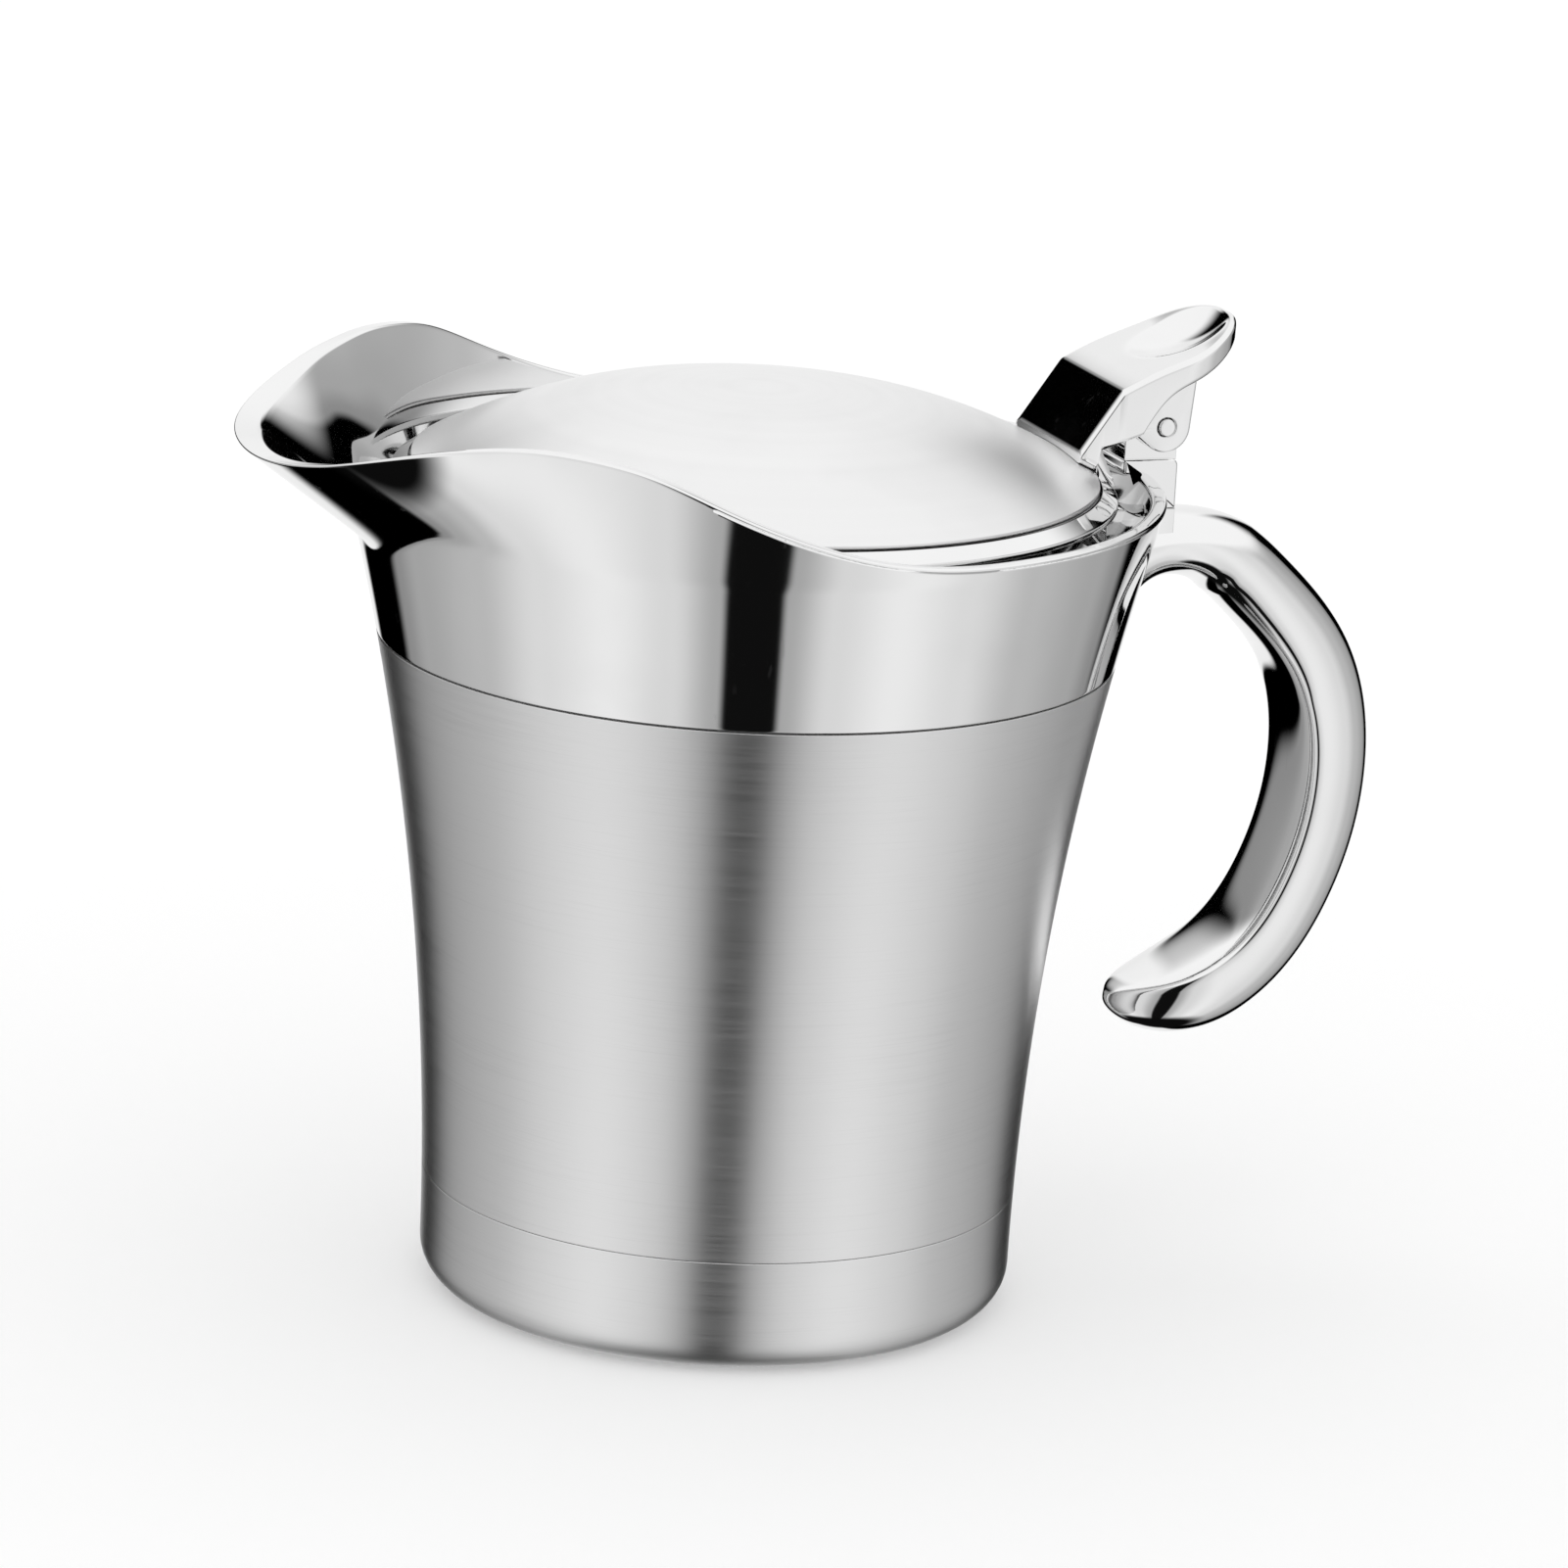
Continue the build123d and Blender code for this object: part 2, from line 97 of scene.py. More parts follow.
# Collar: stations of the rim, each an angle off the nose in degrees, the reach past the
# flared side and the rise above the level rim, both in millimetres
NECK_WALL = 0.7 * MM
RIM_STATIONS = (
    (0, 13.45, 5.2),
    (5, 13.25, 5.4),
    (10, 12.5, 6.0),
    (15, 10.8, 7.0),
    (20, 8.2, 8.4),
    (25, 5.3, 9.9),
    (30, 2.9, 11.1),
    (35, 0.9, 11.9),
    (40, -0.4, 12.3),
    (47, -1.4, 12.1),
    (55, -1.6, 10.9),
    (65, -1.2, 7.5),
    (75, -0.7, 4.1),
    (85, -0.4, 1.6),
    (95, -0.2, 0.3),
    (105, 0.0, 0.0),
)
BEAK_LOW = 13.5 * MM
BEAK_SIDE = 19.0 * MM
BEAK_ANGLE = radians(25)
BEAK_FOLD = 0.04
BEAK_FOLD_INSIDE = 0.15
COLLAR_COLUMNS = 384
OUTER_ROWS = 60
INNER_ROWS = 40

# Steps up and round between which the slope of the collar's wall is measured
SLOPE_STEP = 0.2 * MM
SLOPE_TURN = 0.01

# Lid. The arch's two inner points are shares of the dome's radius and height
DOME_ARCH = ((0.46, 1.0), (0.675, 0.715))
DOME_RISE = 1.4 * MM
DOME_LIP = 0.6 * MM
FLANGE_DROP = 0.5 * MM
PAN_INSET = 4.6 * MM
EDGE_GROOVE = 0.35 * MM
EDGE_GROOVE_DEPTH = 0.5 * MM
PAN_ROUND = 0.6 * MM
PAN_DEPTH = 4.0 * MM

# Hinge. Sizes without MM are millimetres from the pin
LUG_IN = 6.0 * MM
LUG_THICK = 2.0 * MM
LUG_HOLE = 1.32 * MM
LUG_ROUND = 3.3
LUG_ROOTS = ((3.9, 6.8), (0.0, 6.0), (-5.2, -0.2))
PIN_PROUD = 0.3 * MM
PIN_ROUND = 0.2 * MM
PIN_STEPS = 48
BRACKET_HALF = 6.5 * MM
BRACKET_BLOCK = (
    ((-4.8, -6.35), 0.3),
    ((-4.8, -4.5), 0.3),
    ((2.6, -4.5), 1.0),
    ((2.6, -10.9), 0.2),
    ((-2.6, -10.9), 0.2),
    ((-2.6, -6.35), 0.2),
)
TONGUE_HALF = 5.8 * MM
TONGUE_R = 2.6
TONGUE_BACK = radians(198)
TONGUE_LOW = -4.7
TONGUE_FRONT = -4.6
STEP_DROP = 0.8
BRACKET_ROUND_SHARE = 0.4

# Thumb lever, in millimetres from the pin: front edge, brow, top line, underside and dish
LEVER_HALF = 10.5
LEVER_FRONT = (-12.76, -2.55)
LEVER_BROW = (-7.2, 5.4)
LEVER_TOP = (LEVER_BROW, (-1.2, 8.1), (3.6, 9.9), (7.6, 12.0), (11.6, 14.0))
LEVER_UNDER = ((-4.2, -0.5), (-1.6, 3.3), (3.6, 6.6), (7.6, 8.8), (11.6, 11.5))
LEVER_HEEL = ((-12.8, -6.9), (-10.4, -6.9), (-10.1, -2.4), (-4.2, -0.5))
LEVER_REACH = 10.9
LEVER_TIP_FLAT = 1.0
BROW_ROUND = 0.12
DISH_R = 14.0
DISH_PLACE = (-0.75, 21.75)
DISH_ROUND = 0.25
FOOT_BACK_TOP = (-10.0, -1.8)
FOOT_BACK_LOW = -7.6
FOOT_TOP = -1.6
FOOT_INSET = 0.05
LID_CLEARANCE = 0.06 * MM
DOME_SKIRT = 0.1 * MM

# Rows of the lever's grid before the brow, over it, behind it and round the thumb end, and
# the most of the lever's thickness that an edge's rounding takes
LEVER_ROWS = (16, 12, 26, 48)
BROW_BAND = 0.5
LEVER_COLUMNS = 57
EDGE_SHARE = 0.45
LEAST_EDGE = 0.01
LUG_ROUND_SHARE = 0.5
LUG_STEPS = 96
HULL_STEPS = 720
LEAST_LEAN = 0.05

# Handle. The points of its line are shares of its reach and of its drop from the root
ROOT_Z = 93.5 * MM
HANDLE_OUT = 33.0 * MM
HANDLE_DROP = 58.7 * MM
HANDLE_LINE = (
    (0.22, 0.039),
    (0.43, 0.020),
    (0.635, -0.063),
    (0.908, -0.246),
    (0.992, -0.490),
    (0.892, -0.741),
    (0.668, -0.927),
    (0.388, -1.006),
    (0.124, -0.998),
)
HANDLE_EDGE = 2.0 * MM
HANDLE_KEEL = 3.2 * MM
KEEL_SHARE = 0.42
ROOT_SHARE = 0.12
ROOT_WAIST = 1.9 * MM
WAIST_SHARE = 0.2
ROOT_FLARE = 2.6 * MM
ROOT_SPREAD = 0.8 * MM
ROOT_BURIED = 3.0 * MM
ROOT_SINK = 1.0 * MM
ROOT_DEPTH = 0.6 * MM
PAD_DEPTH = 6.0 * MM

# Bends of the handle's section, across it and in height. The lower ones are given for the
# flat part and for the keeled root
LOWER_FLAT = (0.92, 0.45)
LOWER_BEND = (0.1, 0.45)
UPPER_FLAT = 0.6
UPPER_BEND = 0.55

# Shares of the handle's length where its tip starts to thin and to narrow, the least that
# is left of the tip, its last row, and half the run over which its direction is measured
TIP_THIN_FROM = 0.84
TIP_NARROW_FROM = 0.86
LEAST_TIP = 1e-6
LAST_SHARE = 0.9998
LINE_STEP = 0.0005
HANDLE_ROWS = 110
TIP_ROWS = 40
SIDE_POINTS = 18

# Finishes: scales of their noises for each metre, where they start to show, and how much
SMEAR_SCALE = 60
SMEAR_BAND = (0.45, 0.75)
SMEAR_SHADE = 0.03
SMEAR_DULL = 0.02
HAIR_SCALE = (900, 900, 90)
HAIR_BAND = (0.70, 0.74)
HAIR_DULL = 0.05
WAVE_SCALE = 35
WAVE_DEPTH = 0.02 * MM
GRAIN_FINE = (110, 110, 6500)
GRAIN_BROAD = (40, 40, 1400)
GRAIN_CLOUD = (30, 30, 60)
GRAIN_MIX = 0.6
GRAIN_DARK = 0.14
GRAIN_SHADE = 0.22
CLOUD_SHADE = 0.06
GRAIN_DULL = 0.16
GRAIN_STRETCH = {"Anisotropic": 0.85, "Anisotropic Rotation": 0.25}
TOOTH_SCALE = 4200
DRAWN_SCALE = (60, 60, 2200)
TOOTH_DEPTH = 0.003 * MM
SATIN_ROUGHNESS = 0.32
SATIN_SHADE = 0.1
SATIN_DULL = 0.1
SPUN_FINE = 5200
SPUN_BROAD = 380
SPUN_DEPTH = 0.0006 * MM
SPUN_SHADE = 0.05
SPUN_DULL = 0.05
SPUN_SMEAR_DULL = 0.03

# Camera: aim, turn and height of the view, its roll, distance, shifts, lens and range
VIEW_AIM = Vector((0, 0, 50 * MM))
VIEW_TURN = radians(21.6133)
VIEW_HEIGHT = radians(15.265)
VIEW_ROLL = radians(3.1808)
VIEW_DISTANCE = 937.2 * MM
VIEW_RIGHT = 5.741 * MM
VIEW_UP = 15.664 * MM
LENS_MM = 169.385
SENSOR_MM = 36.0
CLIP = (0.05, 20)

# Stage: heights of a direction, as shares of straight up or down, between which the tent's
# wall turns to its roof and to the dark below, and the floor's sizes
ROOF_BAND = (0.35, 0.6)
GROUND_BAND = (0.86, 0.94)
WHITE = (1, 1, 1, 1)
DARK = (0.004, 0.004, 0.004, 1)
FLOOR_RADIUS = 3.0
FLOOR_STEPS = 96
FLOOR_DROP = 0.02 * MM
FLOOR_WHITE = 1.02
FLOOR_ROUGHNESS = 0.9


# Settings


class ServerSizes(bpy.types.PropertyGroup):
    """Main sizes of the server."""

    groove_height: FloatProperty(
        name="Groove Height",
        description="Height of the joint between the base cup and the brushed sleeve",
        default=15 * MM,
        unit="LENGTH",
    )
    groove_radius: FloatProperty(
        name="Groove Radius",
        description="Radius of the jug at that joint",
        default=38 * MM,
        unit="LENGTH",
    )
    seam_height: FloatProperty(
        name="Seam Height",
        description="Height of the seam between the brushed sleeve and the polished collar",
        default=round(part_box("outer_body")[1].z, 6),
        unit="LENGTH",
    )
    seam_radius: FloatProperty(
        name="Seam Radius",
        description="Radius of the jug at the seam",
        default=46.6 * MM,
        unit="LENGTH",
    )
    side_bow: FloatProperty(
        name="Side Bow",
        description="How far the flared side bows inward between groove and seam",
        default=1.6 * MM,
        unit="LENGTH",
    )
    rim_height: FloatProperty(
        name="Rim Height",
        description="Height of the level rim at the hinge",
        default=106 * MM,
        unit="LENGTH",
    )
    collar_wall: FloatProperty(
        name="Collar Wall",
        description="Thickness of the polished collar's wall",
        default=2 * MM,
        unit="LENGTH",
    )
    rim_round: FloatProperty(
        name="Rim Round",
        description="Radius of the rounding along both edges of the rim",
        default=0.5 * MM,
        unit="LENGTH",
    )
    dome_radius: FloatProperty(
        name="Dome Radius",
        description="Radius of the lid's dome at its edge",
        default=round(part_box("lid_dome")[1].y, 6),
        unit="LENGTH",
    )
    dome_height: FloatProperty(
        name="Dome Height",
        description="Height of the dome's crown above its edge",
        default=10 * MM,
        unit="LENGTH",
    )
    flange_radius: FloatProperty(
        name="Flange Radius",
        description="Radius of the flange that shows round the dome",
        default=round(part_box("lid_pan")[1].y, 6),
        unit="LENGTH",
    )
    pin_radius: FloatProperty(
        name="Pin Radius", description="Radius of the hinge pin", default=1.1 * MM, unit="LENGTH"
    )
    handle_width: FloatProperty(
        name="Handle Width",
        description="Width of the handle across the hand",
        default=15.3 * MM,
        unit="LENGTH",
    )
    handle_thickness: FloatProperty(
        name="Handle Thickness",
        description="Thickness of the handle from its inner to its outer face",
        default=10.3 * MM,
        unit="LENGTH",
    )
    lever_round: FloatProperty(
        name="Lever Round",
        description="Rounding of the edges of the thumb lever",
        default=0.8 * MM,
        unit="LENGTH",
    )


class ServerFinish(bpy.types.PropertyGroup):
    """Colours and surface finishes of the steel."""

    polished_colour: FloatVectorProperty(
        name="Polished Colour",
        description="Colour of the mirror-polished steel",
        default=(0.9, 0.9, 0.9),
        subtype="COLOR",
        min=0,
        max=1,
    )
    brushed_colour: FloatVectorProperty(
        name="Brushed Colour",
        description="Colour of the brushed steel",
        default=(0.86, 0.86, 0.86),
        subtype="COLOR",
        min=0,
        max=1,
    )
    polished_roughness: FloatProperty(
        name="Polished Roughness",
        description="Roughness of the polished steel",
        default=0.035,
        subtype="FACTOR",
        min=0,
        max=1,
    )
    dome_roughness: FloatProperty(
        name="Dome Roughness",
        description="Roughness of the spun and polished lid",
        default=0.28,
        subtype="FACTOR",
        min=0,
        max=1,
    )
    brushed_roughness: FloatProperty(
        name="Brushed Roughness",
        description="Roughness of the brushed steel across its grain",
        default=0.36,
        subtype="FACTOR",
        min=0,
        max=1,
    )
    grain_depth: FloatProperty(
        name="Grain Depth",
        description="How deep the brushed lines are cut",
        default=0.004 * MM,
        unit="LENGTH",
        precision=6,
    )


class ServerStage(bpy.types.PropertyGroup):
    """The floor and the light tent round the server."""

    floor_colour: FloatVectorProperty(
        name="Floor Colour",
        description="Colour of the plain pale floor",
        default=(0.86, 0.86, 0.86),
        subtype="COLOR",
        min=0,
        max=1,
    )
    slit_turn: FloatProperty(
        name="Slit Turn",
        description="How far the tent's dark slit stands to the right of the camera",
        default=radians(2.5),
        subtype="ANGLE",
    )
    light_level: FloatProperty(
        name="Light Level",
        description="Brightness of the tent's walls",
        default=1.0,
        min=0,
        soft_max=2,
    )


class ServerSettings(bpy.types.PropertyGroup):
    """Everything a user can change about the server."""

    sizes: PointerProperty(type=ServerSizes)
    finish: PointerProperty(type=ServerFinish)
    stage: PointerProperty(type=ServerStage)


def settings():
    """The server's settings in the open scene."""
    return bpy.context.scene.sauce_server


# Shading


class Value:
    """The output of a node. Arithmetic on it adds Math nodes to its tree."""

    def __init__(self, tree, socket):
        self.tree = tree
        self.socket = socket

    def math(self, operation, *values):
        """A Math node on numbers and values."""
        return self.tree.node("ShaderNodeMath", {"operation": operation}, dict(enumerate(values)))

    def __add__(self, other):
        return self.math("ADD", self, other)

    def __radd__(self, other):
        return self.math("ADD", other, self)

    def __sub__(self, other):
        return self.math("SUBTRACT", self, other)

    def __rsub__(self, other):
        return self.math("SUBTRACT", other, self)

    def __mul__(self, other):
        return self.math("MULTIPLY", self, other)

    def __rmul__(self, other):
        return self.math("MULTIPLY", other, self)

    def __truediv__(self, other):
        return self.math("DIVIDE", self, other)

    def __abs__(self):
        return self.math("ABSOLUTE", self)


class Tree:
    """A node tree that is filled one node at a time."""

    def __init__(self, tree):
        self.tree = tree
        tree.nodes.clear()

    def node(self, kind, choices=None, values=None, output=0):
        """Adds a node, makes its choices, then sets or links its sockets."""
        made = self.tree.nodes.new(kind)
        for name, value in (choices or {}).items():
            if name == "stops":
                self.set_stops(made.color_ramp, value)
            else:
                setattr(made, name, value)
        for name, value in (values or {}).items():
            if isinstance(value, Value):
                self.tree.links.new(value.socket, made.inputs[name])
            else:
                made.inputs[name].default_value = value
        return Value(self, made.outputs[output]) if made.outputs else made

    def set_stops(self, ramp, stops):
        """Sets the stops of a grey ramp, each a place and a brightness."""
        ramp.interpolation = "EASE"
        while len(ramp.elements) < len(stops):
            ramp.elements.new(1.0)
        for element, (place, grey) in zip(ramp.elements, stops):
            element.position = place
            element.color = (grey, grey, grey, 1)

    def vector(self, operation, *values):
        """A Vector Math node."""
        return self.node("ShaderNodeVectorMath", {"operation": operation}, dict(enumerate(values)))

    def blend(self, share, first, second):
        """A Mix node on colours."""
        return self.node(
            "ShaderNodeMix", {"data_type": "RGBA"}, {0: share, 6: first, 7: second}, output=2
        )

    def smooth(self, value, low, high):
        """0 below low, 1 above high, and a smooth rise between."""
        return self.node(
            "ShaderNodeMapRange",
            {"interpolation_type": "SMOOTHSTEP"},
            {"Value": value, "From Min": low, "From Max": high},
        )

    def noise(self, place, scale, detail):
        """A grey noise at a place, its scale one number or one for each axis."""
        if isinstance(scale, tuple):
            place, scale = self.vector("MULTIPLY", place, scale), 1
        return self.node(
            "ShaderNodeTexNoise",
            {"noise_dimensions": "3D"},
            {"Vector": place, "Scale": scale, "Detail": detail, "Roughness": 0.5},
        )

    def bump(self, height):
        """The normal of a surface raised by a height in metres."""
        values = {"Strength": 1.0, "Distance": 1.0, "Height": height}
        return self.node("ShaderNodeBump", None, values)

    def tinted(self, grey, colour):
        """A colour darkened where a grey is below 1."""
        return self.blend(grey, (0, 0, 0, 1), (*colour, 1))


def steel(name, colour, roughness, recipe, **constants):
    """A steel material. The recipe gives what varies over its surface."""
    material = bpy.data.materials.new(name)
    material.use_nodes = True
    tree = Tree(material.node_tree)
    place = tree.node("ShaderNodeTexCoord", output="Object")
    varying = recipe(tree, place, colour, roughness)
    values = {"Metallic": 1.0, **constants, **varying}
    shader = tree.node("ShaderNodeBsdfPrincipled", None, values)
    tree.node("ShaderNodeOutputMaterial", None, {"Surface": shader})
    return material


def smears(tree, place):
    """Faint finger smears, from 0 to 1."""
    return tree.smooth(tree.noise(place, SMEAR_SCALE, 3), *SMEAR_BAND)


def polished(tree, place, colour, roughness):
    """Mirror polish: faint smears, a few hairline scratches and a slight waviness."""
    smear = smears(tree, place)
    hairline = tree.smooth(tree.noise(place, HAIR_SCALE, 1), *HAIR_BAND)
    wave = tree.noise(place, WAVE_SCALE, 1)
    return {
        "Base Color": tree.tinted(1 - SMEAR_SHADE * smear, colour),
        "Roughness": roughness + SMEAR_DULL * smear + HAIR_DULL * hairline,
        "Normal": tree.bump(wave * WAVE_DEPTH),
    }


def brushed(tree, place, colour, roughness):
    """Brushing round the jug: fine level lines of uneven depth and brightness."""
    fine = tree.noise(place, GRAIN_FINE, 2)
    broad = tree.noise(place, GRAIN_BROAD, 2)
    cloud = tree.noise(place, GRAIN_CLOUD, 1)
    line = GRAIN_MIX * fine + (1 - GRAIN_MIX) * broad
    grey = (1 - GRAIN_DARK) + GRAIN_SHADE * line + CLOUD_SHADE * cloud
    return {
        "Base Color": tree.tinted(grey, colour),
        "Roughness": (roughness - GRAIN_DULL / 2) + GRAIN_DULL * line,
        "Normal": tree.bump(line * settings().finish.grain_depth),
    }


def satin(tree, place, colour, roughness):
    """Satin steel: an even fine tooth with faint drawn rings."""
    mixed = 0.5 * tree.noise(place, TOOTH_SCALE, 2) + 0.5 * tree.noise(place, DRAWN_SCALE, 1)
    return {
        "Base Color": tree.tinted((1 - SATIN_SHADE) + SATIN_SHADE * mixed, colour),
        "Roughness": (roughness - SATIN_DULL / 2) + SATIN_DULL * mixed,
        "Normal": tree.bump(mixed * TOOTH_DEPTH),
    }


def spun(tree, place, colour, roughness):
    """Polish over a spun sheet: fine rings left by the tool, a little duller than a mirror."""
    x, y = (tree.node("ShaderNodeSeparateXYZ", None, {0: place}, output=i) for i in (0, 1))
    radius = x.math("SQRT", x * x + y * y)
    outward = tree.node("ShaderNodeCombineXYZ", None, {0: radius})
    broad = tree.noise(outward, SPUN_BROAD, 1)
    smear = smears(tree, place)
    return {
        "Base Color": tree.tinted(1.0 - SPUN_SHADE * broad - SMEAR_SHADE * smear, colour),
        "Roughness": roughness + SPUN_DULL * broad + SPUN_SMEAR_DULL * smear,
        "Normal": tree.bump(tree.noise(outward, SPUN_FINE, 1) * SPUN_DEPTH),
    }


def finish_of(name):
    """The named finish, made the first time it is asked for."""
    known = bpy.data.materials.get(name)
    if known:
        return known
    finish = settings().finish
    recipes = {
        "Brushed steel": (finish.brushed_colour, finish.brushed_roughness, brushed),
        "Satin steel": (finish.brushed_colour, SATIN_ROUGHNESS, satin),
        "Spun steel": (finish.polished_colour, finish.dome_roughness, spun),
        "Polished steel": (finish.polished_colour, finish.polished_roughness, polished),
    }
    constants = GRAIN_STRETCH if name == "Brushed steel" else {}
    return steel(name, *recipes[name], **constants)


# Shapes


def spline(knots, values, first=None, last=None):
    """Smooth curve through values at knots, with given or estimated slopes at its ends."""
    knots = np.asarray(knots, float)
    values = np.asarray(values, float)
    values = values.reshape(len(knots), -1)
    gaps = np.diff(knots)[:, None]
    rates = np.diff(values, axis=0) / gaps
    if first is None:
        first = rates[0] - (rates[1] - rates[0]) * gaps[0] / (gaps[0] + gaps[1])
    if last is None:
        last = rates[-1] + (rates[-1] - rates[-2]) * gaps[-1] / (gaps[-1] + gaps[-2])
    count = len(knots)
    system = np.eye(count)
    right = np.zeros_like(values)
    right[0], right[-1] = first, last
    for i in range(1, count - 1):
        system[i, i - 1] = gaps[i, 0]
        system[i, i] = 2 * (gaps[i - 1, 0] + gaps[i, 0])
        system[i, i + 1] = gaps[i - 1, 0]
        right[i] = 3 * (gaps[i] * rates[i - 1] + gaps[i - 1] * rates[i])
    slopes = np.linalg.solve(system, right)

    def at(place):
        place = np.atleast_1d(np.asarray(place, float))
        span = np.clip(np.searchsorted(knots, place, side="right") - 1, 0, count - 2)
        gap = gaps[span]
        t = ((place - knots[span]) / gap[:, 0])[:, None]
        start, end = values[span], values[span + 1]
        return (
            (2 * t**3 - 3 * t**2 + 1) * start
            + (t**3 - 2 * t**2 + t) * gap * slopes[span]
            + (3 * t**2 - 2 * t**3) * end
            + (t**3 - t**2) * gap * slopes[span + 1]
        )

    return at


def bezier(points, shares):
    """Points of a Bezier curve at the given shares."""
    t = np.asarray(shares, float)[:, None]
    p0, p1, p2, p3 = (np.asarray(p, float) for p in points)
    return (1 - t) ** 3 * p0 + 3 * (1 - t) ** 2 * t * p1 + 3 * (1 - t) * t**2 * p2 + t**3 * p3


def side_radius(z):
    """Outer radius of the flared side at height z."""
    sizes = settings().sizes
    t = (z - sizes.groove_height) / (sizes.seam_height - sizes.groove_height)
    rise = sizes.seam_radius - sizes.groove_radius
    return sizes.groove_radius + rise * t - 4 * sizes.side_bow * t * (1 - t)


def side_slope(z):
    """Outward run of the side for each unit of height at z."""
    return (side_radius(z + 0.5 * MM) - side_radius(z - 0.5 * MM)) / MM


def side_run(z0, z1, inset, steps):
    """Plain corners along the side's section between two heights, ends left out."""
    return [((side_radius(z) - inset, z), 0) for z in np.linspace(z0, z1, steps)[1:-1]]


def ease(share):
    """A share from 0 to 1 that starts and ends gently."""
    return share * share * (3 - 2 * share)


def section(corners, closed=True, turns=4):
    """Rows through the corners in turn. A corner with a radius is rounded, with a row
    on each side of it that keeps the faces beside it flat."""
    points = [np.asarray(point, float) for point, radius in corners]
    rows = []
    count = len(points)
    for i, (point, radius) in enumerate(corners):
        if not radius or (not closed and i in (0, count - 1)):
            rows.append(points[i])
            continue
        arms = []
        for other in (points[i - 1], points[(i + 1) % count]):
            arm = other - points[i]
            length = np.linalg.norm(arm, axis=-1, keepdims=True)
            arms.append((arm / np.maximum(length, 1e-9), length))
        (back, back_length), (ahead, ahead_length) = arms
        if np.min(back_length) > 2 * FLAT_FROM * radius:
            rows.append(points[i] + back * radius * FLAT_FROM)
        start, end = points[i] + back * radius, points[i] + ahead * radius
        for t in np.linspace(0, 1, turns + 1):
            rows.append((1 - t) ** 2 * start + 2 * t * (1 - t) * points[i] + t**2 * end)
        if np.min(ahead_length) > 2 * FLAT_FROM * radius:
            rows.append(points[i] + ahead * radius * FLAT_FROM)
    return np.array(rows)


def turned(rows, steps):
    """Rows of a section turned round the upright axis."""
    angle = np.arange(steps) * (2 * pi / steps)
    grid = np.empty((len(rows), steps, 3))
    grid[:, :, 0] = rows[:, :1] * np.cos(angle)
    grid[:, :, 1] = rows[:, :1] * np.sin(angle)
    grid[:, :, 2] = rows[:, 1:]
    return grid


def add_grid(mesh, grid, joined=True, lids=False):
    """Adds quads between the rows of a grid, whose columns close on themselves."""
    count, steps = grid.shape[:2]
    verts = [[mesh.verts.new(point) for point in row] for row in grid]
    for i in range(count if joined else count - 1):
        row, after = verts[i], verts[(i + 1) % count]
        for j in range(steps):
            k = (j + 1) % steps
            mesh.faces.new((row[j], row[k], after[k], after[j]))
    if lids:
        mesh.faces.new(list(reversed(verts[0])))
        mesh.faces.new(verts[-1])


def finished_piece(name, mesh, finish, body, slot, *nodes):
    """Turns a bmesh into a smooth piece that rides on a body and stands for CAD nodes."""
    bmesh.ops.remove_doubles(mesh, verts=mesh.verts, dist=WELD_DISTANCE)
    loose = [v for v in mesh.verts if not v.link_faces]
    bmesh.ops.delete(mesh, geom=loose, context="VERTS")
    bare = [e for e in mesh.edges if not e.link_faces]
    bmesh.ops.delete(mesh, geom=bare, context="EDGES")
    bmesh.ops.recalc_face_normals(mesh, faces=mesh.faces)
    data = bpy.data.meshes.new(name)
    for face in mesh.faces:
        face.smooth = True
    mesh.to_mesh(data)
    mesh.free()
    piece = bpy.data.objects.new(name, data)
    bpy.context.scene.collection.objects.link(piece)
    data.materials.append(finish_of(finish))
    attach(piece, body)
    if nodes:
        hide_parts(*nodes)
    return piece


def turned_piece(name, corners, finish, body, slot, node, steps=FINE_STEPS):
    """A piece turned from one closed section."""
    mesh = bmesh.new()
    add_grid(mesh, turned(section(corners), steps))
    return finished_piece(name, mesh, finish, body, slot, node)


def inset_outline(points, inset):
    """A closed outline moved inward by an amount, point by point."""
    before, after = np.roll(points, 1, axis=0), np.roll(points, -1, axis=0)
    run = after - before
    normal = np.column_stack([run[:, 1], -run[:, 0]])
    normal /= np.linalg.norm(normal, axis=1)[:, None]
    area = np.sum(points[:, 0] * after[:, 1] - after[:, 0] * points[:, 1])
    return points - np.sign(area) * normal * inset


def slab(mesh, outline, low, high, edge, hole=None, steps=4):
    """A flat bar between two Y places in the hinge's side view, its edges rounded. With a
    hole, a ring of as many points as the outline, it is open in the middle."""
    rows = []
    for y, inward in ((low, 1), (high, -1)):
        turns = np.linspace(0, pi / 2, steps + 1)[::inward]
        arc = [(y + inward * edge * (1 - cos(t)), edge * (1 - sin(t))) for t in turns]
        for place, inset in arc:
            rows.append(np.insert(inset_outline(outline, inset), 1, place, axis=1))
    if hole is not None:
        seat = [np.insert(hole * HOLE_SEAT, 1, y, axis=1) for y in (low, high)]
        rows = [np.insert(hole, 1, low, axis=1), seat[0]] + rows
        rows += [seat[1], np.insert(hole, 1, high, axis=1)]
    grid = np.array(rows) + np.array(pin_place())
    add_grid(mesh, grid, joined=hole is not None, lids=hole is None)


def hard_faces(piece):
    """Keeps the flat faces of a piece flat and leaves the shading to its rounded edges."""
    modifier = piece.modifiers.new("Flat faces", "WEIGHTED_NORMAL")
    modifier.mode = "FACE_AREA"
    modifier.weight = 100


# Pieces


class ServerPiece:
    """What the operators of the pieces share."""

    bl_options = {"REGISTER", "UNDO"}

    def execute(self, context):
        self.make(context.scene.sauce_server)
        return {"FINISHED"}


